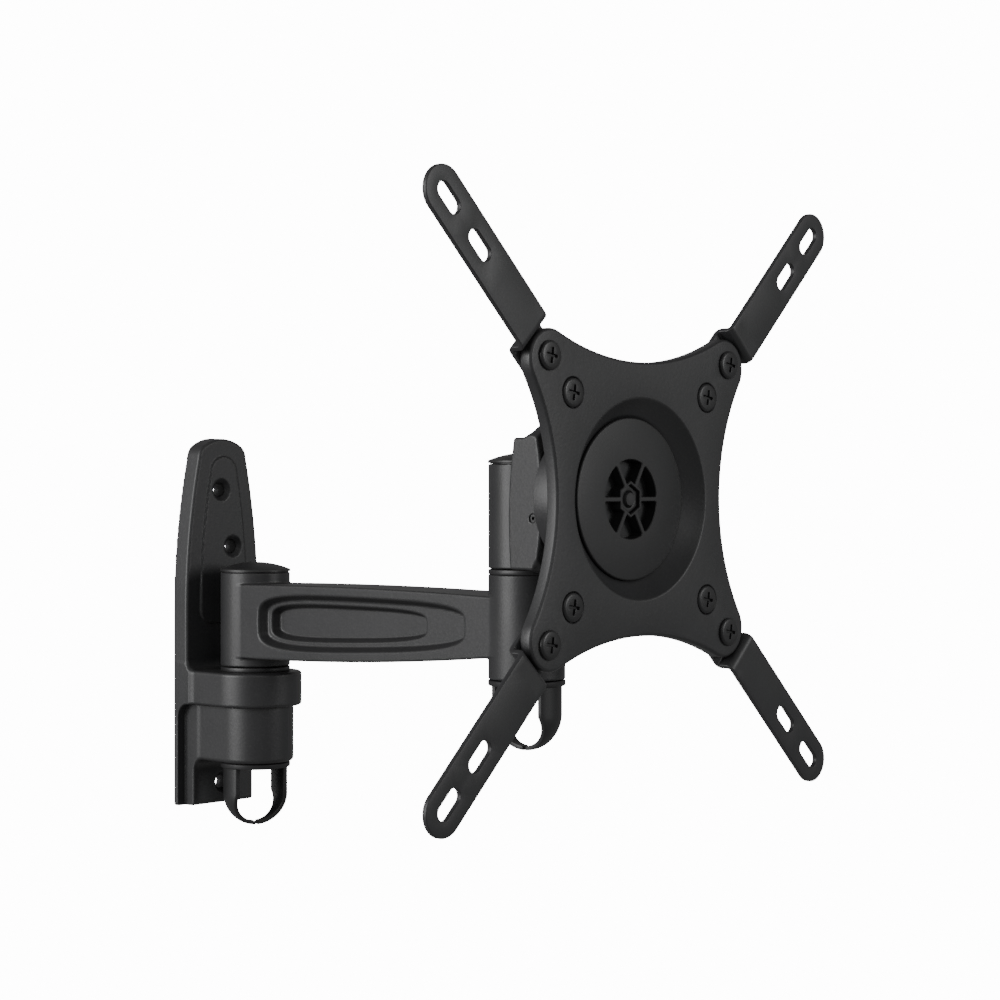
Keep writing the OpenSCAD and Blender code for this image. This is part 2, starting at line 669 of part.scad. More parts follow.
// A cross-head screw whose head starts at depth y
module plate_screw(y, head_h) {
    difference() {
        rod_y(pan_r, y, y + head_h);
        for (turn = [0, 90]) rotate([0, turn + cross_turn, 0])
            translate([-cross_len / 2, y - over, -cross_w / 2]) cube([cross_len, over + cross_d, cross_w]);
    }
    rod_y(plate_screw_r, y + head_h - fit_gap, back_y + ext_t + plate_nut_h + thread_out);
}
module inner_plate_screws() color([0.12, 0.12, 0.12]) translate([0, 0, screen_z])
    at_corners(inner_pitch) plate_screw(front_y - inner_pan_proud, inner_pan_h);
module outer_plate_screws() color([0.12, 0.12, 0.12]) translate([0, 0, screen_z])
    at_corners(outer_pitch) plate_screw(front_y - outer_pan_h, outer_pan_h);
module plate_nut() {
    nut_y = back_y + ext_t;
    difference() {
        across(nut_y, nut_y + plate_nut_h) circle(plate_nut_af / 2 / cos(30), $fn = 6);
        rod_y(plate_screw_r + fit_gap, nut_y - over, nut_y + plate_nut_h + over);
    }
}
module plate_nuts() color([0.3, 0.3, 0.32]) translate([0, 0, screen_z]) {
    at_corners(inner_pitch) plate_nut();
    at_corners(outer_pitch) plate_nut();
}

// One extension arm, turned from +X: a flat foot behind the plate, a Z bend round its corner,
// and a strip with two slots in front
module extension_arm(turn) {
    strip_y = front_y - ext_proud;
    translate([0, 0, screen_z]) rotate([0, -turn, 0]) difference() {
        intersection() {
            translate([0, 0, -ext_w / 2]) linear_extrude(ext_w) polygon([
                [foot_u, back_y], [jog_u, back_y], [jog_u, strip_y], [tip_u + ext_w / 2, strip_y],
                [tip_u + ext_w / 2, strip_y + ext_t], [jog_u + ext_t, strip_y + ext_t],
                [jog_u + ext_t, back_y + ext_t], [foot_u, back_y + ext_t]
            ]);
            across(strip_y - over, back_y + ext_t + over) union() {
                translate([inner_u, 0]) circle(ext_w / 2);
                translate([tip_u, 0]) circle(ext_w / 2);
                translate([inner_u, -ext_w / 2]) square([tip_u - inner_u, ext_w]);
            }
        }
        for (u = [inner_u, outer_u])
            translate([u, 0, 0]) rod_y(plate_screw_r + loose_gap, back_y - over, back_y + ext_t + over);
        for (u = [short_u, slot_u]) across(strip_y - over, strip_y + ext_t + over) union() {
            run = (slot_len - slot_w) / 2;
            translate([u - run, 0]) circle(slot_w / 2);
            translate([u + run, 0]) circle(slot_w / 2);
            translate([u - run, -slot_w / 2]) square([2 * run, slot_w]);
        }
    }
}
module extension_arm_upper_right() color([0.15, 0.15, 0.16]) extension_arm(45);
module extension_arm_upper_left() color([0.15, 0.15, 0.16]) extension_arm(135);
module extension_arm_lower_left() color([0.15, 0.15, 0.16]) extension_arm(225);
module extension_arm_lower_right() color([0.15, 0.15, 0.16]) extension_arm(315);

wall_plate();
wall_pivot_bolt();
wall_pivot_nut();
wall_pivot_washer();
wall_pivot_spring();
wall_pivot_bushes();
wall_pivot_cap();
wall_cable_clip();
arm();
elbow_pivot_bolt();
elbow_pivot_nut();
elbow_pivot_washer();
elbow_pivot_spring();
elbow_pivot_bushes();
elbow_pivot_cap();
elbow_cable_clip();
head_bracket();
tilt_seat();
seat_grub_screw();
tilt_stud();
friction_liner();
pressure_disc();
tilt_spring();
tilt_nut();
screen_plate();
inner_plate_screws();
outer_plate_screws();
plate_nuts();
extension_arm_upper_right();
extension_arm_upper_left();
extension_arm_lower_left();
extension_arm_lower_right();
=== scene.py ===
import json
import bpy
import bmesh
import numpy as np
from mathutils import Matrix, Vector
from mathutils.geometry import delaunay_2d_cdt


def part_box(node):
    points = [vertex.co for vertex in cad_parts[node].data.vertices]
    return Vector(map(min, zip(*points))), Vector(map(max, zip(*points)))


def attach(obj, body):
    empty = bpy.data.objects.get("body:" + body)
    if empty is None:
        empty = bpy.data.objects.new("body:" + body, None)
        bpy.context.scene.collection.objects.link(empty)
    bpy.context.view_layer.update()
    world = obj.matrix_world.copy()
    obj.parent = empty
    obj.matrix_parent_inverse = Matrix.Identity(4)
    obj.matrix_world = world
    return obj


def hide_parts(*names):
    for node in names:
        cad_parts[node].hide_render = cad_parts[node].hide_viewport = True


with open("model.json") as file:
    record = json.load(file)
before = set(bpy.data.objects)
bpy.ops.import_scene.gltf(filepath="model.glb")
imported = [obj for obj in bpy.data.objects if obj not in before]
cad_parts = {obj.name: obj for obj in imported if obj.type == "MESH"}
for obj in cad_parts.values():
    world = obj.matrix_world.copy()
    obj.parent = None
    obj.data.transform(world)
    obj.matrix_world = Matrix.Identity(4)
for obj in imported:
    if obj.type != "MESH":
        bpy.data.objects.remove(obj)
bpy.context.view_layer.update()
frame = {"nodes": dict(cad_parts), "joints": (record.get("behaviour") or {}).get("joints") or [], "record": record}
nodes = frame["nodes"]
joints = {j["name"]: j for j in frame["joints"]}

mm = 0.001
wallPivotY = joints["wall_swivel"]["pos_m"][1] / mm
elbowY = joints["elbow_swivel"]["pos_m"][1] / mm
ballY = joints["head_tilt"]["pos_m"][1] / mm
screenZ = joints["head_tilt"]["pos_m"][2] / mm


def boxOf(node):  # corners of a CAD node in millimetres
    low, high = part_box(node)
    return np.array(low) / mm, np.array(high) / mm


print("frame loaded:", len(nodes), "nodes")


# camera
cameraSettings = {"place": (-660.7, -790.6, 60.3), "turn": -46.8, "lens": 85.84, "shiftY": -0.021}

camera = bpy.data.objects.new("camera", bpy.data.cameras.new("camera"))
camera.data.lens = cameraSettings["lens"]
camera.data.sensor_width = 36
camera.data.shift_y = cameraSettings["shiftY"]
camera.data.clip_end = 50
camera.location = Vector(cameraSettings["place"]) * mm
camera.rotation_euler = np.radians((90, 0, cameraSettings["turn"]))
bpy.context.scene.collection.objects.link(camera)
bpy.context.scene.camera = camera


# outlines: closed runs of (x, y) points

def arcPoints(cx, cy, r, start, end, count):
    # P(a) = centre + r (cos a, sin a), a from start to end in degrees
    a = np.radians(np.linspace(start, end, count))
    return np.stack([cx + r * np.cos(a), cy + r * np.sin(a)], 1)


def turned(x, y, degrees):  # (x cos a - y sin a, x sin a + y cos a)
    c, s = np.cos(np.radians(degrees)), np.sin(np.radians(degrees))
    return x * c - y * s, x * s + y * c


def circle(r, count, cx=0.0, cy=0.0):
    return arcPoints(cx, cy, r, 0, 360, count + 1)[:-1]


def roundCorners(corners, count=6):
    # each (x, y, r) corner becomes the arc of radius r that touches both its sides
    pts = np.array([c[:2] for c in corners], float)
    out = []
    for i, (x, y, r) in enumerate(corners):
        p, a, b = pts[i], pts[i - 1] - pts[i], pts[(i + 1) % len(pts)] - pts[i]
        if r <= 0:
            out.append(p[None])
            continue
        a, b = a / np.linalg.norm(a), b / np.linalg.norm(b)
        half = np.arccos(np.clip(a @ b, -1, 1)) / 2
        centre = p + (a + b) / np.linalg.norm(a + b) * r / np.sin(half)
        u, v = p + a * r / np.tan(half) - centre, p + b * r / np.tan(half) - centre
        t, sweep = np.linspace(0, 1, count)[:, None], np.pi - 2 * half
        out.append(centre + (np.sin((1 - t) * sweep) * u + np.sin(t * sweep) * v) / np.sin(sweep))
    return np.concatenate(out)


def evenly(outline, step):
    # points added along the sides so that none are further apart than step
    out = []
    for p, q in zip(outline, np.roll(outline, -1, 0)):
        n = max(1, int(np.ceil(np.linalg.norm(q - p) / step - 1e-6)))
        out.append(p + (q - p) * (np.arange(n) / n)[:, None])
    return np.concatenate(out)


def inset(outline, amount):
    # P + n amount / cos(half turn), n the inward normal of an anticlockwise outline
    if not amount:
        return outline
    back, ahead = outline - np.roll(outline, 1, 0), np.roll(outline, -1, 0) - outline
    back, ahead = (e / np.linalg.norm(e, axis=1)[:, None] for e in (back, ahead))
    n = np.stack([-(back + ahead)[:, 1], (back + ahead)[:, 0]], 1)
    n /= np.linalg.norm(n, axis=1)[:, None]
    lean = np.clip(np.sum(n * np.stack([-back[:, 1], back[:, 0]], 1), 1), 0.4, 1)
    return outline + n * (amount / lean)[:, None]


def slotOutline(cx, length, width, count=14):
    # two half circles, their centres length - width apart
    run = (length - width) / 2
    return np.concatenate([arcPoints(cx + run, 0, width / 2, -90, 90, count),
                           arcPoints(cx - run, 0, width / 2, 90, 270, count)])


# parts: (points, faces) pairs, points as (x, y, depth)

def gridFaces(rows, columns):
    # quads between neighbouring rows, each row a closed ring
    i, j = np.arange(rows - 1)[:, None], np.arange(columns)[None, :]
    k = (j + 1) % columns
    near, far = i * columns, (i + 1) * columns
    return np.stack([near + j, near + k, far + k, far + j], -1).reshape(-1, 4)


def wallPart(outline, profile):
    # ring(i, d) = the outline inset by i at depth d, for each (i, d) of the profile
    rings = [np.column_stack([inset(outline, i), np.full(len(outline), d)]) for i, d in profile]
    return np.concatenate(rings), gridFaces(len(rings), len(outline))


def turnedPart(profile, count=96, cx=0.0, cy=0.0):
    # P(a, s) = (cx + r(s) cos a, cy + r(s) sin a, d(s)) for each (r, d) of the profile
    rings = [np.column_stack([circle(r, count, cx, cy), np.full(count, d)]) for r, d in profile]
    return np.concatenate(rings), gridFaces(len(rings), count)


def capPart(outer, holes, depth, extra=()):
    # triangles that fill the outline outside its holes
    loops = [outer] + list(holes)
    pts = np.concatenate(loops + ([extra] if len(extra) else []))
    starts = np.cumsum([0] + [len(p) for p in loops])
    edges = [(int(s + i), int(s + (i + 1) % len(p))) for s, p in zip(starts, loops) for i in range(len(p))]
    found, _, faces, origin, _, _ = delaunay_2d_cdt([Vector(p) for p in pts], edges, [], 0, 1e-6)
    flat = np.array([pts[o[0]] if o else tuple(p) for p, o in zip(found, origin)])
    tri = np.array([t for t in faces if len(t) == 3])
    middle, inside = flat[tri].mean(1), np.zeros(len(tri), bool)
    for loop in loops:  # even-odd rule
        for a, b in zip(loop, np.roll(loop, -1, 0)):
            if a[1] != b[1]:
                crosses = (a[1] > middle[:, 1]) != (b[1] > middle[:, 1])
                reach = a[0] + (b[0] - a[0]) * (middle[:, 1] - a[1]) / (b[1] - a[1])
                inside ^= crosses & (middle[:, 0] < reach)
    return np.column_stack([flat, np.full(len(flat), depth)]), tri[inside]


def roundEdge(r, depth, sign, count=5):
    # (r (1 - sin a), depth + sign r (1 - cos a)): from the flat face round to the side
    a = np.radians(np.linspace(0, 90, count))
    return [(r * (1 - s), depth + sign * r * (1 - c)) for s, c in zip(np.sin(a), np.cos(a))]


def roundSides(frontR, backR, front, back, count=5):  # down a side with both its edges rounded
    return roundEdge(frontR, front, 1, count) + roundEdge(backR, back, -1)[::-1]


def plateParts(outline, front, back, edges, holes=(), pockets=(), extra=()):
    # a flat plate with rounded edges; a hole is (outline, edge radius),
    # a pocket is (outline, floor depth, side run, edge radius)
    parts = [wallPart(outline, roundSides(edges[0], edges[1], front, back))]
    frontLoops = []
    for hole, r in holes:
        parts.append(wallPart(hole, [(-i, d) for i, d in roundSides(r, r, front, back)]))
        frontLoops.append(inset(hole, -r))
    backLoops = list(frontLoops)
    for shape, floor, run, r in pockets:
        parts.append(wallPart(shape, [(-i, d) for i, d in roundEdge(r, front, 1)] + [(run, floor)]))
        parts.append(capPart(inset(shape, run), [], floor))
        frontLoops.append(inset(shape, -r))
    parts.append(capPart(inset(outline, edges[0]), frontLoops, front, extra))
    parts.append(capPart(inset(outline, edges[1]), backLoops, back, extra))
    return parts


def joinParts(parts):
    # one run of points and faces; points that coincide are merged
    points = np.concatenate([p for p, f in parts])
    shifts = np.cumsum([0] + [len(p) for p, f in parts])
    _, first, where = np.unique(np.round(points, 4), axis=0, return_index=True, return_inverse=True)
    where = where.reshape(-1)
    faces = []
    for (p, part), shift in zip(parts, shifts):
        for face in where[np.asarray(part) + shift].tolist():
            ring = [v for k, v in enumerate(face) if v != face[k - 1]]
            if len(ring) > 2:
                faces.append(ring)
    return points[first], faces


# castings: a field is negative inside the metal, and its zero surface becomes the mesh

def bothRound(a, b, r):
    # inside both a and b, their edge rounded by r
    a, b = a + r, b + r
    return np.minimum(np.maximum(a, b), 0) + np.hypot(np.maximum(a, 0), np.maximum(b, 0)) - r


def eitherRound(a, b, r):
    # inside a or b, their inner corner filled by a fillet of radius r
    return np.maximum(np.minimum(a, b), r) - np.hypot(np.maximum(r - a, 0), np.maximum(r - b, 0))


def cutSoft(a, b, k):
    # a without b: max(a, -b) with an edge softened over k
    h = np.maximum(k - np.abs(a + b), 0) / k
    return np.maximum(a, -b) + h * h * k / 4


def span(v, low, high):  # |v - middle| less half the run
    return np.abs(v - (low + high) / 2) - (high - low) / 2


def pillar(x, y, z, cy, r, low, high, edge):
    # a cylinder along Z at x = 0, y = cy
    return bothRound(np.hypot(x, y - cy) - r, span(z, low, high), edge)


def castMesh(field, low, high, step):
    # One point per cell that the surface crosses, at the mean of its edge crossings, then
    # P - f grad f twice to put it on the surface. One quad per lattice edge that changes sign.
    axes = [np.arange(lo - 1.37 * step, hi + 1.5 * step, step) for lo, hi in zip(low, high)]
    d = field(*np.meshgrid(*axes, indexing="ij"))
    solid = d < 0
    cells = tuple(n - 1 for n in d.shape)
    total, hits = np.zeros(cells + (3,)), np.zeros(cells)
    crossings = []
    for axis in range(3):
        here = tuple(slice(0, -1) if i == axis else slice(None) for i in range(3))
        there = tuple(slice(1, None) if i == axis else slice(None) for i in range(3))
        cross = solid[here] != solid[there]
        crossings.append((cross, solid[here]))
        idx = np.argwhere(cross)
        t = d[here][cross] / (d[here][cross] - d[there][cross])
        place = np.stack([axes[i][idx[:, i]] for i in range(3)], 1)
        place[:, axis] += t * step
        others = [i for i in range(3) if i != axis]
        for s0 in (0, -1):
            for s1 in (0, -1):
                cell = idx.copy()
                cell[:, others[0]] += s0
                cell[:, others[1]] += s1
                ok = np.all((cell >= 0) & (cell < np.array(cells)), axis=1)
                c = tuple(cell[ok].T)
                np.add.at(total, c, place[ok])
                np.add.at(hits, c, 1)
    number = np.full(cells, -1)
    used = hits > 0
    number[used] = np.arange(used.sum())
    points = total[used] / hits[used][:, None]
    faces = []
    for axis, (cross, low0) in enumerate(crossings):
        o0, o1 = (axis + 1) % 3, (axis + 2) % 3
        idx = np.argwhere(cross)
        idx = idx[(idx[:, o0] > 0) & (idx[:, o1] > 0) & (idx[:, o0] < cells[o0]) & (idx[:, o1] < cells[o1])]
        ring = []
        for s0, s1 in ((-1, -1), (0, -1), (0, 0), (-1, 0)):
            cell = idx.copy()
            cell[:, o0] += s0
            cell[:, o1] += s1
            ring.append(number[tuple(cell.T)])
        quads = np.stack(ring, 1)
        flip = ~low0[tuple(idx.T)]
        quads[flip] = quads[flip][:, ::-1]
        faces.append(quads)
    for _ in range(2):
        value, slope = field(*points.T), slopeOf(field, points)
        points -= np.clip(value, -step / 2, step / 2)[:, None] * slope
    return points, np.concatenate(faces), slopeOf(field, points)


def slopeOf(field, points, reach=0.05):
    # unit gradient by central differences
    g = np.stack([field(*(points + e).T) - field(*(points - e).T) for e in np.eye(3) * reach], 1)
    return g / np.maximum(np.linalg.norm(g, axis=1), 1e-9)[:, None]


# shader groups

def newGroup(name, inputs, outputs):
    # a node group whose sockets are all floats, with a value for each input
    group = bpy.data.node_groups.new(name, "ShaderNodeTree")
    for label, value in inputs.items():
        socket = group.interface.new_socket(label, in_out="INPUT", socket_type="NodeSocketFloat")
        socket.default_value = value
    for label in outputs:
        group.interface.new_socket(label, in_out="OUTPUT", socket_type="NodeSocketFloat")
    return group, group.nodes.new("NodeGroupInput"), group.nodes.new("NodeGroupOutput")


def addNode(tree, kind, inputs=None, **settings):
    # an input that is a socket is linked, any other is set
    node = tree.nodes.new("ShaderNode" + kind)
    for key, value in settings.items():
        setattr(node, key, value)
    for key, value in (inputs or {}).items():
        if isinstance(value, bpy.types.NodeSocket):
            tree.links.new(value, node.inputs[key])
        else:
            node.inputs[key].default_value = value
    return node


def grainGroup():
    # Height = fine noise + Pits x distance to coarser cells, Mottle = slow noise, Speckle = fine peaks
    g, i, o = newGroup("coatGrain", {"Grain Size": 1500.0, "Drift Size": 30.0, "Pits": 0.3},
                       ("Height", "Mottle", "Speckle"))
    at, size = addNode(g, "TexCoord").outputs["Object"], i.outputs["Grain Size"]
    fine = addNode(g, "TexNoise", {"Vector": at, "Scale": size, "Detail": 2.0, "Roughness": 0.6})
    coarse = addNode(g, "Math", {0: size, 1: 0.37}, operation="MULTIPLY")
    cells = addNode(g, "TexVoronoi", {"Vector": at, "Scale": coarse.outputs[0]})
    pits = addNode(g, "Math", {0: cells.outputs["Distance"], 1: i.outputs["Pits"]}, operation="MULTIPLY")
    height = addNode(g, "Math", {0: fine.outputs["Fac"], 1: pits.outputs[0]}, operation="ADD")
    drift = addNode(g, "TexNoise", {"Vector": at, "Scale": i.outputs["Drift Size"], "Detail": 4.0,
                                    "Roughness": 0.55})
    speck = addNode(g, "MapRange", {"Value": fine.outputs["Fac"], "From Min": 0.56, "From Max": 0.74})
    g.links.new(height.outputs[0], o.inputs["Height"])
    g.links.new(drift.outputs["Fac"], o.inputs["Mottle"])
    g.links.new(speck.outputs[0], o.inputs["Speckle"])
    return g


def wearGroup():
    # Mask is high on convex edges, broken up by noise
    g, i, o = newGroup("edgeWear", {"Start": 0.52, "End": 0.62, "Break Up": 220.0}, ("Mask",))
    at = addNode(g, "TexCoord").outputs["Object"]
    sharp = addNode(g, "NewGeometry").outputs["Pointiness"]
    edge = addNode(g, "MapRange", {"Value": sharp, "From Min": i.outputs["Start"], "From Max": i.outputs["End"]})
    noise = addNode(g, "TexNoise", {"Vector": at, "Scale": i.outputs["Break Up"], "Detail": 3.0})
    broken = addNode(g, "MapRange", {"Value": noise.outputs["Fac"], "From Min": 0.35, "From Max": 0.65})
    mask = addNode(g, "Math", {0: edge.outputs[0], 1: broken.outputs[0]}, operation="MULTIPLY", use_clamp=True)
    g.links.new(mask.outputs[0], o.inputs["Mask"])
    return g


coatGrain, edgeWear = grainGroup(), wearGroup()


def mixed(tree, factor, a, b):
    node = addNode(tree, "Mix", {"Factor": factor, "A": a, "B": (*b, 1)}, data_type="RGBA")
    return node.outputs["Result"]


def coatMaterial(name, look):
    # base tone drifting between two colours, paler specks and edges, grain in roughness and bump
    look = {**anyCoat, **look}
    material = bpy.data.materials.new(name)
    material.use_nodes = True
    t = material.node_tree
    shader = t.nodes["Principled BSDF"]
    for label, key in (("Metallic", "metallic"), ("Specular IOR Level", "specular"), ("IOR", "ior")):
        shader.inputs[label].default_value = look[key]
    grain = addNode(t, "Group", node_tree=coatGrain)
    for label, key in (("Grain Size", "grain"), ("Drift Size", "drift"), ("Pits", "pits")):
        grain.inputs[label].default_value = look[key]
    wear = addNode(t, "Group", node_tree=edgeWear)
    tone = mixed(t, grain.outputs["Mottle"], (*look["dark"], 1), look["light"])
    speck = addNode(t, "Math", {0: grain.outputs["Speckle"], 1: look["speck"]}, operation="MULTIPLY")
    dusted = mixed(t, speck.outputs[0], tone, look["fleck"])
    worn = addNode(t, "Math", {0: wear.outputs["Mask"], 1: look["wear"]}, operation="MULTIPLY")
    t.links.new(mixed(t, worn.outputs[0], dusted, look["edge"]), shader.inputs["Base Color"])
    rough = addNode(t, "MapRange", {"Value": grain.outputs["Mottle"], "From Min": 0.3, "From Max": 0.7,
                                    "To Min": look["rough"][0], "To Max": look["rough"][1]})
    t.links.new(rough.outputs[0], shader.inputs["Roughness"])
    bump = addNode(t, "Bump", {"Strength": look["bump"], "Distance": look["depth"],
                               "Height": grain.outputs["Height"]})
    t.links.new(bump.outputs[0], shader.inputs["Normal"])
    return material


anyCoat = {"metallic": 0.0, "specular": 0.5, "ior": 1.5, "drift": 30.0, "pits": 0.3, "speck": 0.25, "wear": 0.3,
           "depth": 0.00006}
black = {"dark": (0.020, 0.020, 0.0212), "light": (0.028, 0.028, 0.0295), "fleck": (0.06, 0.06, 0.062),
         "edge": (0.075, 0.075, 0.077)}
deep = {**black, "dark": (0.012, 0.012, 0.0125), "speck": 0.1}
looks = {
    "castCoat": {**black, "grain": 1200, "rough": (0.40, 0.48), "bump": 0.7},
    "steelCoat": {**black, "grain": 1900, "rough": (0.40, 0.47), "bump": 0.25},
    "blackPlastic": {**deep, "light": (0.017, 0.017, 0.018), "grain": 900, "rough": (0.42, 0.5), "bump": 0.12,
                     "wear": 0.1},
    "blackScrew": {**deep, "light": (0.019, 0.019, 0.020), "grain": 1100, "rough": (0.32, 0.42), "bump": 0.15,
                   "wear": 0.5},
    "acetal": {"dark": (0.55, 0.54, 0.50), "light": (0.62, 0.61, 0.57), "fleck": (0.7, 0.69, 0.65),
               "edge": (0.66, 0.65, 0.6), "grain": 700, "rough": (0.38, 0.48), "bump": 0.08},
    "zincPlate": {"dark": (0.42, 0.43, 0.45), "light": (0.55, 0.56, 0.58), "fleck": (0.68, 0.68, 0.7),
                  "edge": (0.75, 0.75, 0.76), "grain": 1300, "rough": (0.25, 0.4), "bump": 0.1, "metallic": 1.0},
}
materials = {name: coatMaterial(name, look) for name, look in looks.items()}
slotMaterial = {"cast_body": "castCoat", "steel_plate": "steelCoat", "black_plastic": "blackPlastic",
                "black_screw": "blackScrew", "bush_plastic": "acetal", "plated_steel": "zincPlate"}
slotOf = {s["node"]: s["material_slot"] for s in frame["record"]["subparts"]}
bodyOf = {n: body for body, members in frame["record"]["behaviour"]["bodies"].items() for n in members}
for name, obj in nodes.items():
    obj.data.materials.clear()
    obj.data.materials.append(materials[slotMaterial[slotOf[name]]])


def piece(name, node, points, faces, sharp=32, normals=None):
    # a new mesh in the place of one CAD node, on its body and in its slot; without normals of
    # its own, faces that turn by more than sharp degrees meet in a sharp edge
    body, slotName, standsFor = bodyOf[node], slotOf[node], (node,)
    mesh = bpy.data.meshes.new(name)
    mesh.from_pydata((points * mm).tolist(), [], faces if isinstance(faces, list) else faces.tolist())
    if normals is None:
        work = bmesh.new()
        work.from_mesh(mesh)
        bmesh.ops.recalc_face_normals(work, faces=work.faces)
        work.to_mesh(mesh)
        work.free()
    mesh.validate()
    obj = bpy.data.objects.new(name, mesh)
    bpy.context.scene.collection.objects.link(obj)
    mesh.materials.append(materials[slotMaterial[slotName]])
    mesh.shade_smooth()
    if normals is None:
        mesh.set_sharp_from_angle(angle=np.radians(sharp))
    else:
        mesh.normals_split_custom_set_from_vertices(normals.tolist())
    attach(obj, body)
    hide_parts(*standsFor)
    print(name, len(mesh.vertices), "points")


def castPiece(name, node, field, step):
    points, faces, normals = castMesh(field, *boxOf(node), step)
    piece(name, node, points, faces, normals=normals)


def screenPiece(name, node, points, faces, **more):  # (x, y, depth) points set up to face the room
    piece(name, node, points[:, [0, 2, 1]] + (0, 0, screenZ), faces, **more)


print("materials made")


def outlineDistance(outline, step=0.25, margin=4.0):
    # distance to the nearest side, negative inside, worked out on a grid and read between its points
    low, high = outline.min(0) - margin, outline.max(0) + margin
    u, v = (np.arange(a, b + step, step) for a, b in zip(low, high))
    gu, gv = np.meshgrid(u, v, indexing="ij")
    best, inside = np.full(gu.shape, 1e9), np.zeros(gu.shape, bool)
    for a, b in zip(outline, np.roll(outline, -1, 0)):
        e = b - a
        t = np.clip(((gu - a[0]) * e[0] + (gv - a[1]) * e[1]) / (e @ e), 0, 1)
        best = np.minimum(best, np.hypot(gu - a[0] - t * e[0], gv - a[1] - t * e[1]))
        if a[1] != b[1]:
            inside ^= ((a[1] > gv) != (b[1] > gv)) & (gu < a[0] + e[0] * (gv - a[1]) / e[1])
    grid = np.where(inside, -best, best)

    def read(x, y):
        i = np.clip((x - low[0]) / step, 0, len(u) - 1.001)
        j = np.clip((y - low[1]) / step, 0, len(v) - 1.001)
        i0, j0 = i.astype(int), j.astype(int)
        i, j = i - i0, j - j0
        return ((grid[i0, j0] * (1 - i) + grid[i0 + 1, j0] * i) * (1 - j)
                + (grid[i0, j0 + 1] * (1 - i) + grid[i0 + 1, j0 + 1] * i) * j)
    return read


def bothSides(right):  # a right-hand run of points, bottom to top, and its mirror image
    return np.concatenate([right, right[::-1] * (-1, 1)])


# bores of the pivots
bore = {"bolt": 5.1, "well": 11.6, "nutDeep": 14.0, "headDeep": 11.0, "bush": 7.05, "bushRim": 10.55,
        "rimThick": 1.5, "snapAt": 6.5, "snapHigh": 1.5, "snapDeep": 0.6}


def cutFixed(body, x, y, z, cy, low):
    # a fixed barrel: a bolt hole, a nut well from below and the groove that holds the clip
    b, off = bore, np.hypot(x, y - cy)
    body = np.maximum(body, b["bolt"] - off)
    body = np.maximum(body, -np.maximum(off - b["well"], z - low - b["nutDeep"]))
    groove = span(z, low + b["snapAt"] - 0.3, low + b["snapAt"] + b["snapHigh"] + 0.3)
    return np.maximum(body, -np.maximum(off - b["well"] - b["snapDeep"], groove))


def cutTurning(body, x, y, z, cy, low, high):
    # a turning barrel: a bush bore, a recess for the lower bush's rim and a well under the cap
    b, off = bore, np.hypot(x, y - cy)
    body = np.maximum(body, b["bush"] - off)
    body = np.maximum(body, -np.maximum(off - b["bushRim"], z - low - b["rimThick"]))
    return np.maximum(body, -np.maximum(off - b["well"], high - b["headDeep"] - z))


# wall plate and its hub
wallLook = {"half": 20.3, "taper": 8.1, "taperFrom": 4.0, "corner": 6.5, "crown": 2.0, "thick": 8.3,
            "flange": 2.5, "draft": 0.03, "panelBorder": 7.4, "panelTop": 70.0, "panelBottom": -1.0,
            "panelRise": 0.7, "panelCorner": 6.0, "panelLean": 0.4, "panelFillet": 0.4, "footHalf": 16.3,
            "collarR": 19.4, "collarHigh": 14.3, "hubR": 16.0, "hubHigh": 37.8, "fillet": 4.5, "arch": 6.0,
            "holes": ((-1.6, 55.7, 9.0), (4.8, 31.5, 9.0), (0.0, -68.8, 8.3)), "holeR": 2.9, "sinkR": 4.8,
            "step": 0.6}

wallLow, wallHigh = boxOf("wall_plate")
hubTop = boxOf("wall_pivot_washer")[0][2]
hubLow = hubTop - wallLook["hubHigh"]
ledge = hubTop - wallLook["collarHigh"]


def wallHalf(z):
    # half - (R - sqrt(R^2 - (z - taperFrom)^2)): straight below, then a long arc inwards
    w = wallLook
    run = wallHigh[2] - w["corner"] / 2 - w["taperFrom"]
    r = (run ** 2 + w["taper"] ** 2) / (2 * w["taper"])
    return w["half"] - (r - np.sqrt(r * r - np.maximum(z - w["taperFrom"], 0) ** 2))


def wallOutlines():
    # corner arcs that run on into a crown arc of radius (xc^2 + drop^2 - corner^2) / (2 crown)
    w = wallLook
    drop = w["corner"] + w["crown"]
    zc = wallHigh[2] - drop
    xc = wallHalf(zc) - w["corner"]
    crownR = (xc ** 2 + drop ** 2 - w["corner"] ** 2) / (2 * w["crown"])
    lean = np.degrees(np.arctan(xc / (crownR - drop)))
    arcs = np.concatenate([arcPoints(xc, zc, w["corner"], 8, 90 - lean, 12),
                           arcPoints(0, wallHigh[2] - crownR, crownR, 90 - lean, 90, 12)[1:]])
    right = [(w["half"], wallLow[2], 1.3)] + [(wallHalf(v), v, 0) for v in np.linspace(w["taperFrom"], zc, 16)]
    right += [(px, pz, 0) for px, pz in arcs]
    left = [(-x, v, r) for x, v, r in right[-2::-1]]
    outer = roundCorners(right + left, 12)
    r = wallHalf(w["panelTop"]) - w["panelBorder"]
    for _ in range(4):
        r = wallHalf(w["panelTop"] - r) - w["panelBorder"]
    zc = w["panelTop"] - r
    heights = np.append(w["panelBottom"], np.linspace(w["panelBottom"] + 8, zc, 13))
    side = np.array([(wallHalf(v) - w["panelBorder"], v) for v in heights])
    half = np.concatenate([side, arcPoints(0, zc, r, 8, 88, 12)])
    rounded = [w["panelCorner"]] + [0] * (2 * len(half) - 2) + [w["panelCorner"]]
    return outer, roundCorners([(px, pz, c) for (px, pz), c in zip(bothSides(half), rounded)], 10)


wallOuter, wallPanel = (outlineDistance(o) for o in wallOutlines())


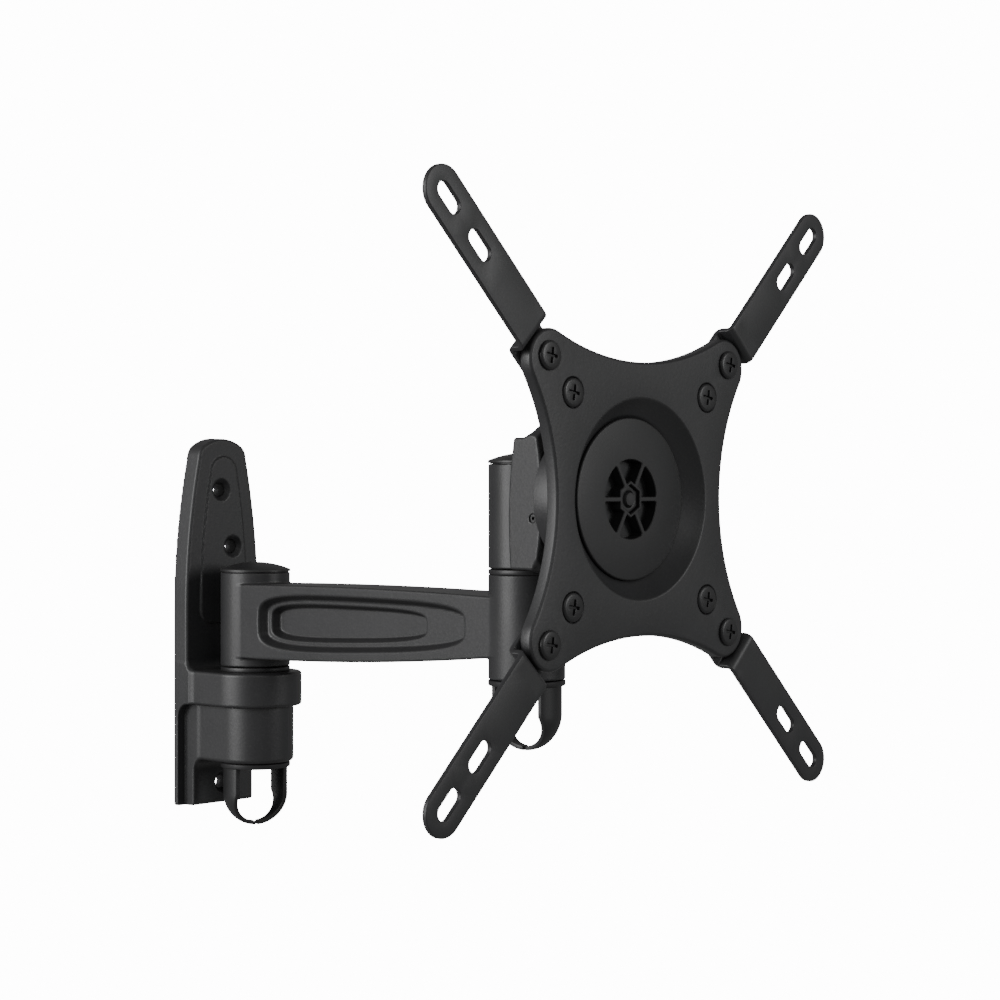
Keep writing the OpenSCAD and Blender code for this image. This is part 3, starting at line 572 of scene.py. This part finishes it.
def wallField(x, y, z):
    # the outline met with its depth, the panel and the hub's D shapes joined on, steps and holes cut out
    w = wallLook
    outer = wallOuter(x, z) - w["draft"] * y
    face = -w["thick"] - y
    plate = bothRound(outer, face, 1.2)
    panel = bothRound(wallPanel(x, z) + w["panelLean"] * np.maximum(face, 0), face - w["panelRise"], 0.3)
    plate = eitherRound(plate, panel, w["panelFillet"])
    ahead = np.hypot(x, np.minimum(y - wallPivotY, 0))
    collar = bothRound(ahead - w["collarR"], span(z, ledge, hubTop), 1.3)
    hub = bothRound(ahead - w["hubR"], span(z, hubLow, hubTop - 4), 1.6)
    body = eitherRound(np.minimum(collar, hub), plate, w["fillet"])
    beside = np.maximum(w["footHalf"] - np.abs(x), bothRound(z - ledge, y + w["flange"], w["arch"]))
    body = cutSoft(np.maximum(body, np.abs(x) - w["half"]), beside, 0.5)
    body = np.maximum(body, y)
    sink = w["sinkR"] - w["holeR"]
    for hx, hz, front in w["holes"]:
        off = np.hypot(x - hx, z - hz)
        flare = np.clip(sink - front - y, 0, sink)
        body = cutSoft(body, (off - w["holeR"] - flare) * np.where(flare > 0, 0.707, 1), 0.2)
    return cutFixed(body, x, y, z, wallPivotY, hubLow)


castPiece("wallCasting", "wall_plate", wallField, wallLook["step"])


# arm
armLook = {"half": 13.6, "top": 16.4, "drop": 0.3, "crown": 1.15, "bottom": -14.1, "rise": 8.0, "edge": 0.8,
           "outer": (17.2, 135.3, 4.0), "inner": (21.0, 111.3, 7.8), "power": 4.5, "deep": 4.0,
           "lean": (0.425, 0.325), "leanCos": (0.92, 0.95),
           "barrelR": 14.5, "barrelEdge": 0.5, "wallHigh": 39.1, "elbowHigh": 39.3, "gap": 0.3, "step": 0.65}

armLen = wallPivotY - elbowY
wallTurnLow = boxOf("wall_pivot_washer")[1][2] + armLook["gap"]
wallTurnHigh = wallTurnLow + armLook["wallHigh"]
elbowHigh = boxOf("elbow_pivot_washer")[0][2]
elbowLow = elbowHigh - armLook["elbowHigh"]


def slabEdges(s):
    # top = t - drop u + 4 crown u (1 - u), bottom = b + rise u^2, u the share of the way along
    a, u = armLook, s / armLen
    return a["top"] - a["drop"] * u + 4 * a["crown"] * u * (1 - u), a["bottom"] + a["rise"] * u * u


def longOval(start, end, margin, count=40):
    # middle +- half (1 - |2t - 1|^n)^(1/n), following the slab's edges
    t = (1 - np.cos(np.linspace(0, np.pi, count))) / 2
    s = start + (end - start) * t
    top, bottom = slabEdges(s)
    rise = np.maximum(0, 1 - np.abs(2 * t - 1) ** armLook["power"]) ** (1 / armLook["power"])
    half = ((top - bottom) / 2 - margin) * rise
    up, down = np.stack([s, (top + bottom) / 2 + half], 1), np.stack([s, (top + bottom) / 2 - half], 1)
    return np.concatenate([down, up[-2:0:-1]])


armOuter, armInner = (outlineDistance(longOval(*armLook[k])) for k in ("outer", "inner"))


def armField(x, y, z):
    # a slab between two curved edges, two stepped ovals sunk in each side, a barrel at each end
    a, s = armLook, wallPivotY - y
    top, bottom = slabEdges(s)
    slab = bothRound(np.maximum(z - top, bottom - z), np.abs(x) - a["half"], a["edge"])
    slab = np.maximum(slab, span(s, 0, armLen))
    q = a["half"] - np.abs(x)
    (lean1, lean2), (cos1, cos2) = a["lean"], a["leanCos"]
    first = bothRound((armOuter(s, z) + lean1 * q) * cos1, q - a["deep"], 0.5)
    second = bothRound((armInner(s, z) + lean2 * (q - a["deep"])) * cos2, q - 2 * a["deep"], 0.5)
    slab = cutSoft(cutSoft(slab, first, 0.7), second, 0.6)
    ends = np.minimum(pillar(x, y, z, wallPivotY, a["barrelR"], wallTurnLow, wallTurnHigh, a["barrelEdge"]),
                      pillar(x, y, z, elbowY, a["barrelR"], elbowLow, elbowHigh, a["barrelEdge"]))
    body = eitherRound(slab, ends, 0.7)
    body = cutTurning(body, x, y, z, wallPivotY, wallTurnLow, wallTurnHigh)
    return cutFixed(body, x, y, z, elbowY, elbowLow)


castPiece("armCasting", "arm", armField, armLook["step"])


# head
headLook = {"blockEdge": 0.9, "blockUp": 0.3, "blockHigh": 48.4, "blockFrom": 4.0, "blockTo": 16.1,
            "back": (1.65, 0.85), "flangeThick": 6.5, "dome": 2.2, "domeFrom": 21.5, "fillet": 3.0,
            "spigotR": 16.05, "spigotDeep": 5.0, "studR": 3.05, "studTo": 13.1, "scoopR": 15.0,
            "grub": (4.2, -7.0, 1.55), "grubTo": -10.0, "barrelHigh": 39.2, "step": 0.6}

headLow, headHigh = boxOf("head_bracket")
headTurnLow = boxOf("elbow_pivot_washer")[1][2] + armLook["gap"]
headTurnHigh = headTurnLow + headLook["barrelHigh"]
flangeFront = headLow[1]
flangeR = screenZ - headLow[2]
blockLow = headTurnLow + headLook["blockUp"]
blockHigh = blockLow + headLook["blockHigh"]


def headField(x, y, z):
    # a block with a bowed back, a round flange with a domed front on it, and a barrel behind
    a, h, half = armLook, headLook, headHigh[0]
    across = np.hypot(x, z - screenZ)
    t = (z - (blockLow + blockHigh) / 2) / ((blockHigh - blockLow) / 2)
    front = flangeFront + h["blockFrom"]
    back = flangeFront + h["blockTo"] - h["back"][0] * t * t - h["back"][1] * t
    block = bothRound(span(z, blockLow, blockHigh), np.maximum(front - y, y - back), h["blockEdge"])
    share = np.clip((across - h["domeFrom"]) / (flangeR - h["domeFrom"]), 0, 1.2)
    front = flangeFront + h["dome"] * share ** 1.6
    disc = bothRound(across - flangeR, np.maximum((front - y) * 0.97, y - flangeFront - h["flangeThick"]), 0.7)
    body = bothRound(eitherRound(block, disc, h["fillet"]), np.abs(x) - half, h["blockEdge"])
    barrel = pillar(x, y, z, elbowY, a["barrelR"], headTurnLow, headTurnHigh, a["barrelEdge"])
    body = eitherRound(body, barrel, 0.8)
    body = cutTurning(body, x, y, z, elbowY, headTurnLow, headTurnHigh)
    body = np.maximum(body, -np.maximum(across - h["spigotR"], y - flangeFront - h["spigotDeep"]))
    body = np.maximum(body, -np.maximum(across - h["studR"], y - elbowY + h["studTo"]))
    scoop = np.maximum(np.hypot(x, y - elbowY) - h["scoopR"], headTurnHigh - z)
    body = cutSoft(body, scoop, 0.3)
    gy, gz, gr = h["grub"]
    grub = np.hypot(y - flangeFront - gy, z - screenZ - gz) - gr
    return cutSoft(body, np.maximum(grub, x - h["grubTo"]), 0.25)


castPiece("headCasting", "head_bracket", headField, headLook["step"])


# screen plate: a flat plate with hollow sides and a bowl pressed back out of its middle
plateLook = {"lobe": 48.6, "corner": 11.0, "waistX": 45.8, "waistZ": 49.4, "edge": 1.3, "backEdge": 0.6,
             "ballR": 48.0, "thick": 5.0, "bowlThick": 2.5, "rim": 1.2, "backFillet": 3.0, "open": 17.0,
             "innerPitch": 75.0, "outerPitch": 100.0, "holeR": 2.6, "sinkR": 5.5, "sinkDeep": 1.2, "sinkEdge": 0.3,
             "around": 160}


def hollowRadius(waist):
    # radius of the side's arc that touches a corner circle and passes the waist
    p = plateLook
    return (p["lobe"] ** 2 + (waist - p["lobe"]) ** 2 - p["corner"] ** 2) / (2 * (p["corner"] - waist + p["lobe"]))


def plateOutline():
    # four corner circles joined by four hollow arcs, a quarter at a time
    p = plateLook
    sideR, endR = hollowRadius(p["waistX"]), hollowRadius(p["waistZ"])
    sideA = np.degrees(np.arctan2(p["lobe"], p["waistX"] + sideR - p["lobe"]))
    endA = np.degrees(np.arctan2(p["lobe"], p["waistZ"] + endR - p["lobe"]))
    quarter = np.concatenate([arcPoints(p["waistX"] + sideR, 0, sideR, 180, 180 - sideA, 30)[:-1],
                              arcPoints(p["lobe"], p["lobe"], p["corner"], -sideA, 90 + endA, 34),
                              arcPoints(p["waistZ"] + endR, 0, endR, 180 - endA, 180, 26)[1:, ::-1]])
    right = np.concatenate([quarter[:0:-1] * (1, -1), quarter])
    return np.concatenate([right, right[-2:0:-1] * (-1, 1)])


def bowlProfile(front, back):
    # (r, depth): round the front rim, down the inner ball, over the open edge, up the outer ball, a fillet
    p, out = plateLook, []
    inner, outer, e, f = p["ballR"], p["ballR"] + p["bowlThick"], p["rim"], p["backFillet"]
    depth = front + e - ballY
    rimR = np.sqrt((inner + e) ** 2 - depth ** 2)
    a0, a1 = -90.0, np.degrees(np.arctan2(-depth, -rimR))
    out += [(rimR + e * np.cos(a), ballY + depth + e * np.sin(a)) for a in np.radians(np.linspace(a0, a1, 7))]
    lowA, highA = np.arcsin(p["open"] / inner), np.arctan2(rimR, depth)
    out += [(inner * np.sin(a), ballY + inner * np.cos(a)) for a in np.linspace(highA, lowA, 22)[1:]]
    lowB = np.arcsin(p["open"] / outer)
    depth = back + f - ballY
    footR = np.sqrt((outer + f) ** 2 - depth ** 2)
    highB = np.arctan2(footR, depth)
    out += [(outer * np.sin(a), ballY + outer * np.cos(a)) for a in np.linspace(lowB, highB, 20)]
    out += [(footR + f * np.cos(a), ballY + depth + f * np.sin(a))
            for a in np.linspace(np.arctan2(-depth, -footR), -np.pi / 2, 7)[1:]]
    return out


def fourPlaces(pitch):
    return [(x * pitch / 2, z * pitch / 2) for x in (-1, 1) for z in (-1, 1)]


plateFront = boxOf("screen_plate")[0][1]
plateBack = plateFront + plateLook["thick"]

p = plateLook
profile = bowlProfile(plateFront, plateBack)
outline = plateOutline()
sinks, shafts, outerHoles = ([circle(p[r], count, x, z) for x, z in fourPlaces(p[pitch])] for r, count, pitch in (
    ("sinkR", 40, "innerPitch"), ("holeR", 32, "innerPitch"), ("holeR", 32, "outerPitch")))
floor, edge, around = plateFront + p["sinkDeep"], p["sinkEdge"], p["around"]
parts = [wallPart(outline, roundSides(p["edge"], p["backEdge"], plateFront, plateBack, 7)),
         turnedPart(profile, around)]
parts += [wallPart(hole, [(0, plateFront), (0, plateBack)]) for hole in outerHoles]
for sink, shaft in zip(sinks, shafts):
    parts += [wallPart(sink, [(-edge, plateFront), (0, plateFront + edge), (0, floor)]),
              capPart(sink, [shaft], floor), wallPart(shaft, [(0, floor), (0, plateBack)])]
frontLoops = [circle(profile[0][0], around)] + outerHoles + [inset(sink, -edge) for sink in sinks]
backLoops = [circle(profile[-1][0], around)] + outerHoles + shafts
parts += [capPart(inset(outline, p["edge"]), frontLoops, plateFront),
          capPart(inset(outline, p["backEdge"]), backLoops, plateBack)]
screenPiece("screenPlate", "screen_plate", *joinParts(parts))


# extension arms: flat strips bent to a Z round the plate's corners
extLook = {"width": 17.1, "thick": 2.0, "footStart": 44.48, "jog": 81.43, "bendR": 1.8, "tipEnd": 153.45,
           "footY": 1.0, "stripY": 0.1, "slotLong": 12.8, "slotWide": 5.8, "slots": (141.42, 120.7),
           "holes": (53.03, 70.71), "holeR": 2.6, "edge": 0.45}


def bentStrip(points):
    # P(s, n) = mid(s) + n N(s): along the foot, a quarter turn forward, a short rise, a quarter turn back
    e = extLook
    footY, stripY = plateBack + e["footY"], plateFront + e["stripY"]
    r, s, w, n = e["bendR"], points[:, 0], points[:, 1], points[:, 2]
    rise, quarter = footY - stripY - 2 * r, np.pi / 2 * r
    s1 = e["jog"] - r - e["footStart"]
    stops = [0, s1, s1 + quarter, s1 + quarter + rise, s1 + 2 * quarter + rise, 999]
    turn = -np.interp(s, stops, [0, 0, 1, 1, 0, 0]) * np.pi / 2
    nu, ny = -np.sin(turn), np.cos(turn)
    u = np.select([s < stops[1], s < stops[2], s < stops[3], s < stops[4]],
                  [e["footStart"] + s, e["jog"] - r + r * nu, e["jog"], e["jog"] + r - r * nu],
                  e["jog"] + r + s - stops[4])
    y = np.select([s < stops[1], s < stops[2], s < stops[3], s < stops[4]],
                  [footY, footY - r + r * ny, footY - r - (s - stops[2]), stripY + r - r * ny], stripY)
    return np.stack([u + n * nu, w, y + n * ny], 1), stops


def stripLength(u):  # distance along the strip to a place u out along the diagonal
    stops = bentStrip(np.zeros((1, 3)))[1]
    e = extLook
    return u - e["footStart"] if u < e["jog"] else stops[4] + u - e["jog"] - e["bendR"]


def extensionParts():
    # a strip with round ends, laid flat, its slots and holes where they come out once it is bent
    e = extLook
    half, end, stops = e["width"] / 2, stripLength(e["tipEnd"]), bentStrip(np.zeros((1, 3)))[1]
    bends = np.concatenate([np.linspace(stops[1] - 0.6, stops[4] + 0.6, 22), [stops[1] - 4, stops[4] + 4]])
    stations = np.sort(np.concatenate([np.linspace(half + 3, end - half - 3, 26), bends]))
    side = np.stack([stations, np.full(len(stations), -half)], 1)
    outline = np.concatenate([side, arcPoints(end - half, 0, half, -90, 90, 28), side[::-1] * (1, -1),
                              arcPoints(half, 0, half, 90, 270, 28)])
    holes = [(slotOutline(stripLength(u), e["slotLong"], e["slotWide"]), 0.15) for u in e["slots"]]
    holes += [(circle(e["holeR"], 28, stripLength(u)), 0.1) for u in e["holes"]]
    rows = np.array([(s, w) for s in bends for w in (-6.0, -3.0, 0.0, 3.0, 6.0)])
    t = e["thick"] / 2
    return joinParts(plateParts(outline, -t, t, (e["edge"], e["edge"]), holes, (), rows))


flat, stripFaces = extensionParts()
bent = bentStrip(flat)[0]
for turn, node in ((45, "upper_right"), (135, "upper_left"), (225, "lower_left"), (315, "lower_right")):
    u, w, y = bent.T
    x, z = turned(u, w, turn)
    points = np.stack([x, y, screenZ + z], 1)
    first, second = node.split("_")
    piece("extension" + first.title() + second.title(), "extension_arm_" + node, points, stripFaces)


# plate screws and nuts
screwLook = {"panR": 5.25, "dome": 0.3, "crossLong": 5.6, "crossWide": 1.1, "crossDeep": 1.0, "crossTurn": 10.0,
             "shankR": 2.5, "headHigh": {"innerPitch": 1.9, "outerPitch": 1.6}}
nutLook = {"plate": (8.0, 2.55), "tilt": (9.2, 3.05), "corner": 0.5, "edge": 0.4, "holeEdge": 0.3}


def crossOutline():
    # one arm's end and the inner corner beside it, four times round
    a, b = screwLook["crossLong"] / 2, screwLook["crossWide"] / 2
    arm = (a, -b, 0.25), (a, b, 0.25), (b, b, 0)
    corners = [(*turned(x, y, 90 * k - screwLook["crossTurn"]), r) for k in range(4) for x, y, r in arm]
    return roundCorners(corners, 4)


def screwParts(front, headHigh, end):
    # a pan head whose top is domed by dome (r / R)^2, with a cross recess, on a plain shank
    k = screwLook
    rows = np.concatenate([circle(r, 24) for r in (3.4, 4.0)])
    pocket = [(crossOutline(), front + k["crossDeep"], 0.2, 0.1)]
    parts = plateParts(circle(k["panR"], 48), front, front + headHigh, (0.9, 0.15), (), pocket, rows)
    shank = [(k["shankR"], front + headHigh - 0.1), (k["shankR"], end - 0.5), (k["shankR"] - 0.5, end), (0, end)]
    parts.append(turnedPart(shank, 24))
    points, faces = joinParts(parts)
    share = np.clip(1 - (points[:, 2] - front) / headHigh, 0, 1)
    points[:, 2] += k["dome"] * share * (np.hypot(points[:, 0], points[:, 1]) / k["panR"]) ** 2
    return points, faces


def copies(points, faces, places):
    # the same points and faces once for each (x, z)
    shift = [points + (x, z, 0) for x, z in places]
    many = [[v + i * len(points) for v in face] for i in range(len(places)) for face in faces]
    return np.concatenate(shift), many


for name, node, pitch in (("innerScrews", "inner_plate_screws", "innerPitch"),
                          ("outerScrews", "outer_plate_screws", "outerPitch")):
    low, high = boxOf(node)
    screw = screwParts(low[1], screwLook["headHigh"][pitch], high[1])
    screenPiece(name, node, *copies(*screw, fourPlaces(plateLook[pitch])))


def hexagon(r, corner, count):  # corners r from the middle, each rounded
    angles = np.radians(np.arange(6) * 60 + 30)
    return roundCorners([(r * np.cos(a), r * np.sin(a), corner) for a in angles], count)


def nutParts(kind, low, high, count=24):
    # a hexagon with softened corners and a plain hole
    n, (across, holeR) = nutLook, nutLook[kind]
    outline = hexagon(across / 2 / np.cos(np.pi / 6), n["corner"], 5)
    hole = circle(holeR, count), n["holeEdge"]
    return joinParts(plateParts(outline, low, high, (n["edge"], n["edge"]), [hole]))


low, high = boxOf("plate_nuts")
places = fourPlaces(plateLook["innerPitch"]) + fourPlaces(plateLook["outerPitch"])
screenPiece("plateNuts", "plate_nuts", *copies(*nutParts("plate", low[1], high[1]), places))


# pressure disc, its nut, the stud and the seat behind the bowl
discLook = {"r": 29.5, "edge": 0.6, "ballR": 47.7, "windowR": 14.4, "windowDeep": 4.5, "spoke": 1.7, "hexWall": 1.4,
            "windowEdge": 0.25, "windowDraft": 0.3, "pocketAcross": 9.2, "pocketSlack": 0.25, "pocketDeep": 6.4,
            "pocketEdge": 0.2, "studHole": 3.1, "around": 96}


def windowOutline(turn):
    # a sixth of the ring between the hexagon's wall and the window circle, less half a spoke each side
    d = discLook
    tip = d["pocketAcross"] / 2 / np.cos(np.pi / 6) + d["hexWall"]
    flat = tip * np.cos(np.pi / 6)
    half, r = d["spoke"] / 2, d["windowR"]
    side = (flat, half), (np.sqrt(r * r - half * half), half)
    arc = [(r * np.cos(a), r * np.sin(a), 0) for a in np.radians(np.linspace(9, 51, 8))]
    other = [turned(x, -y, 60) for x, y in side]
    corners = [(*side[0], 0.4), (*side[1], 0.7)] + arc
    corners += [(*other[1], 0.7), (*other[0], 0.4), (flat, tip / 2, 0)]
    return roundCorners([(*turned(x, y, turn), r) for x, y, r in corners], 5)


def discParts():
    # a flat front with six windows and a hexagonal pocket in it, and a back that is part of a ball
    d = discLook
    front, count = boxOf("pressure_disc")[0][1], d["around"]
    floor, windowFloor = front + d["pocketDeep"], front + d["windowDeep"]
    pocket = hexagon(d["pocketAcross"] / 2 / np.cos(np.pi / 6) + d["pocketSlack"], 0.3, 4)
    angles = np.linspace(np.arcsin(d["r"] / d["ballR"]), np.arcsin(d["studHole"] / d["ballR"]), 16)
    ball = [(d["ballR"] * np.sin(a), ballY + d["ballR"] * np.cos(a)) for a in angles]
    parts = [wallPart(circle(d["r"], count), roundEdge(d["edge"], front, 1)),
             turnedPart([(d["r"], front + d["edge"])] + ball + [(d["studHole"], floor)], count)]
    loops, edge, draft = [], d["windowEdge"], d["windowDraft"]
    for k in range(6):
        shape = windowOutline(60 * k)
        parts += [wallPart(shape, [(-edge, front), (0, front + edge), (draft, windowFloor)]),
                  capPart(inset(shape, draft), [], windowFloor)]
        loops.append(inset(shape, -edge))
    edge = d["pocketEdge"]
    parts += [wallPart(pocket, [(-edge, front), (0, front + edge), (0, floor)]),
              capPart(pocket, [circle(d["studHole"], count)], floor),
              capPart(inset(circle(d["r"], count), d["edge"]), loops + [inset(pocket, -edge)], front)]
    return joinParts(parts)


screenPiece("pressureDisc", "pressure_disc", *discParts())

low, high = boxOf("tilt_nut")
screenPiece("tiltNut", "tilt_nut", *nutParts("tilt", low[1], high[1], 32))

studLook = {"r": 3.0, "root": 2.78, "tip": 2.3, "threadFrom": 0.8, "threadTo": 6.4, "halfPitch": 0.5, "edge": 0.5}
low, high = boxOf("tilt_stud")
k = studLook
ridge = np.arange(low[1] + k["threadFrom"], low[1] + k["threadTo"], k["halfPitch"])
thread = [(k["r"] if i % 2 else k["root"], y) for i, y in enumerate(ridge)]
profile = [(0, low[1]), (k["tip"], low[1])] + thread
profile += [(k["r"], ridge[-1] + 0.4), (k["r"], high[1] - k["edge"]), (k["r"] - k["edge"], high[1]), (0, high[1])]
screenPiece("tiltStud", "tilt_stud", *joinParts([turnedPart(profile, 48)]), sharp=25)

seatLook = {"ballR": 52.3, "r": 26.0, "lip": 0.6, "spigotR": 16.0, "bore": 3.1}
low, high = boxOf("tilt_seat")
k = seatLook
angles = np.linspace(np.arcsin(k["bore"] / k["ballR"]), np.arcsin((k["r"] - k["lip"]) / k["ballR"]), 20)
lipY = ballY + k["ballR"] * np.cos(angles[-1])
profile = [(k["ballR"] * np.sin(a), ballY + k["ballR"] * np.cos(a)) for a in angles]
profile += [(k["r"] - 0.15, lipY), (k["r"], lipY + 0.3), (k["r"], flangeFront - 0.6),
            (k["r"] - 0.6, flangeFront), (k["spigotR"], flangeFront), (k["spigotR"], high[1] - 0.4),
            (k["spigotR"] - 0.4, high[1]), (k["bore"], high[1])]
profile.append(profile[0])
screenPiece("tiltSeat", "tilt_seat", *joinParts([turnedPart(profile, 128)]))


# pivot caps and washers
capLook = {"r": 14.7, "rim": 1.3, "dome": 3.0, "lip": 0.5, "plugR": 11.55, "plugWall": 1.2, "plugHigh": 3.5,
           "groove": 0.35}
washerLook = {"r": 14.5, "edge": 0.45}


def capParts(seat, cy):
    # a shallow dome z = top - (R - sqrt(R^2 - r^2)) on a rim, over a ring that plugs the well
    c = capLook
    ballR = (c["r"] ** 2 + c["dome"] ** 2) / (2 * c["dome"])
    top = seat + c["rim"] + c["dome"]
    r = np.linspace(0, c["r"] - c["lip"], 16)
    dome = list(zip(r, top - ballR + np.sqrt(ballR ** 2 - r ** 2)))
    edge = dome[-1][1]
    rim = [(c["r"] - 0.2, edge - 0.12), (c["r"], edge - 0.45), (c["r"], seat + c["groove"] + 0.15),
           (c["r"] - 0.15, seat + c["groove"]), (c["r"] - 0.8, seat + c["groove"]), (c["r"] - 0.8, seat)]
    inner = c["plugR"] - c["plugWall"]
    plug = [(c["plugR"], seat), (c["plugR"], seat - c["plugHigh"] + 0.3), (c["plugR"] - 0.3, seat - c["plugHigh"]),
            (inner, seat - c["plugHigh"]), (inner, seat), (0, seat)]
    return joinParts([turnedPart(dome + rim + plug, 96, 0, cy)])


def washerParts(low, high, cy):
    # a flat ring round the bolt, its outer edges rounded
    r, c, hole = washerLook["r"], washerLook["edge"], bore["bolt"]
    ring = [(hole, low), (r - c, low), (r - 0.12, low + 0.15), (r, low + c), (r, high - c), (r - 0.12, high - 0.15),
            (r - c, high), (hole, high), (hole, low)]
    return joinParts([turnedPart(ring, 96, 0, cy)])


for side, cy, seat in (("wall", wallPivotY, wallTurnHigh), ("elbow", elbowY, headTurnHigh)):
    piece(side + "Cap", side + "_pivot_cap", *capParts(seat, cy))
    low, high = boxOf(side + "_pivot_washer")
    piece(side + "Washer", side + "_pivot_washer", *washerParts(low[2], high[2], cy))


# cable clips: a flange and snap ring that turn under a barrel, and two fingers that almost meet
clipLook = {"r": 13.4, "thick": 1.6, "halfWide": 6.7, "tipHalf": 2.0, "straight": 11.0, "mouth": 1.4,
            "corner": 0.45, "gap": 0.3, "flangeR": 14.6, "flangeThick": 2.2, "ringR": 11.5, "ringWall": 1.1, "ringHigh": 8.0,
            "ridge": 0.6, "ridgeHigh": 1.5, "turns": {"wall": -17.0, "elbow": 96.0}}


def fingerParts(low, side):
    # section (w, q) carried along: P = (rho cos a, w, -rho sin a), rho = sqrt((r - q)^2 - w^2),
    # straight above the bend and a from 0 to where half the mouth is left; w shrinks towards the tips
    c = clipLook
    half, thick = c["halfWide"], c["thick"]
    corners = [(w, q, c["corner"]) for w, q in ((-half, 0), (half, 0), (half, thick), (-half, thick))]
    section = evenly(roundCorners(corners, 5), 1.2)
    bendZ = low - c["straight"]
    rings = []
    for z in np.linspace(low + c["flangeThick"] / 2, bendZ, 8):
        rho = np.sqrt((c["r"] - section[:, 1]) ** 2 - section[:, 0] ** 2)
        rings.append(np.stack([side * rho, section[:, 0], np.full(len(rho), z)], 1))
    for t in np.linspace(0, 1, 32)[1:]:
        narrow = 1 - (1 - c["tipHalf"] / c["halfWide"]) * np.sin(t * np.pi / 2)
        part = section * (narrow * (0.9 if t == 1 else 1), 1)
        rho = np.sqrt((c["r"] - part[:, 1]) ** 2 - part[:, 0] ** 2)
        a = t * np.arccos((c["mouth"] / 2) / rho)
        rings.append(np.stack([side * rho * np.cos(a), part[:, 0], bendZ - rho * np.sin(a)], 1))
    n = len(section)
    quads = gridFaces(len(rings), n).tolist()
    ends = [list(range(n)), list(range((len(rings) - 1) * n, len(rings) * n))]
    return np.concatenate(rings), quads + ends


def clipParts(under, turn, cy):
    # a turned flange and snap ring with a finger on each side, turned about the pivot
    c = clipLook
    low = under - c["flangeThick"]
    top = under + c["gap"] + c["ringHigh"]
    inner = c["ringR"] - c["ringWall"]
    ring = [(inner, low), (c["flangeR"] - 0.7, low), (c["flangeR"] - 0.2, low + 0.2), (c["flangeR"], low + 0.7),
            (c["flangeR"], under - 0.3), (c["flangeR"] - 0.3, under), (c["ringR"], under),
            (c["ringR"], top - c["ridgeHigh"]), (c["ringR"] + c["ridge"], top - c["ridgeHigh"]), (c["ringR"], top),
            (inner, top), (inner, low)]
    points, faces = joinParts([turnedPart(ring, 96)])
    for side in (-1, 1):
        more, quads = fingerParts(low, side)
        faces = faces + [[v + len(points) for v in face] for face in quads]
        points = np.concatenate([points, more])
    x, y = turned(points[:, 0], points[:, 1], turn)
    return np.stack([x, cy + y, points[:, 2]], 1), faces


for side, cy, barrelLow in (("wall", wallPivotY, hubLow), ("elbow", elbowY, elbowLow)):
    clip = clipParts(barrelLow - clipLook["gap"], clipLook["turns"][side], cy)
    piece(side + "Clip", side + "_cable_clip", *clip, sharp=40)


# stage and lights
stageLook = {"floor": -0.42, "radius": 2.6, "curve": 0.9, "height": 2.4, "white": 14.0, "fill": 0.25,
             "world": 0.12, "aim": (0, -0.15, 0.03)}


def stageProfile():
    # (r, z): a flat floor that curves up into a round wall
    k = stageLook
    a = np.radians(np.linspace(-90, 0, 24))
    r, z = k["radius"] - k["curve"], k["floor"] + k["curve"]
    bend = [(r + k["curve"] * np.cos(t), z + k["curve"] * np.sin(t)) for t in a]
    return [(0, k["floor"])] + bend + [(k["radius"], k["height"])]


points, faces = joinParts([turnedPart(stageProfile(), 96)])
mesh = bpy.data.meshes.new("backdrop")
mesh.from_pydata(points.tolist(), [], faces)
mesh.shade_smooth()
backdrop = bpy.data.objects.new("backdrop", mesh)
bpy.context.scene.collection.objects.link(backdrop)
white = bpy.data.materials.new("backdropWhite")
white.use_nodes = True
tree = white.node_tree
tree.nodes.clear()
glow, dim = (addNode(tree, "Emission", {"Color": (1, 1, 1, 1), "Strength": stageLook[k]})
             for k in ("white", "fill"))
path = addNode(tree, "LightPath")
pick = addNode(tree, "MixShader", {"Fac": path.outputs["Is Camera Ray"]})
tree.links.new(dim.outputs[0], pick.inputs[1])
tree.links.new(glow.outputs[0], pick.inputs[2])
addNode(tree, "OutputMaterial", {"Surface": pick.outputs[0]})
mesh.materials.append(white)


lightLook = {"key": {"place": (-2.0, 0.45, 0.45), "size": (1.4, 1.6), "power": 50.0},
             "front": {"place": (-0.9, -2.1, 0.9), "size": (1.2, 1.2), "power": 5.0},
             "right": {"place": (0.9, -2.0, 0.5), "size": (0.5, 0.8), "power": 11.0},
             "top": {"place": (0.1, -0.2, 1.9), "size": (1.6, 1.6), "power": 2.0}}

for name, look in lightLook.items():
    lamp = bpy.data.lights.new(name, "AREA")
    lamp.shape = "RECTANGLE"
    lamp.size, lamp.size_y = look["size"]
    lamp.energy = look["power"]
    obj = bpy.data.objects.new(name, lamp)
    obj.location = look["place"]
    aim = Vector(stageLook["aim"]) - Vector(look["place"])
    obj.rotation_euler = aim.to_track_quat("-Z", "Y").to_euler()
    bpy.context.scene.collection.objects.link(obj)

world = bpy.data.worlds.new("world")
world.use_nodes = True
background = world.node_tree.nodes["Background"]
background.inputs["Color"].default_value = (1, 1, 1, 1)
background.inputs["Strength"].default_value = stageLook["world"]
bpy.context.scene.world = world
print("lights and stage made")
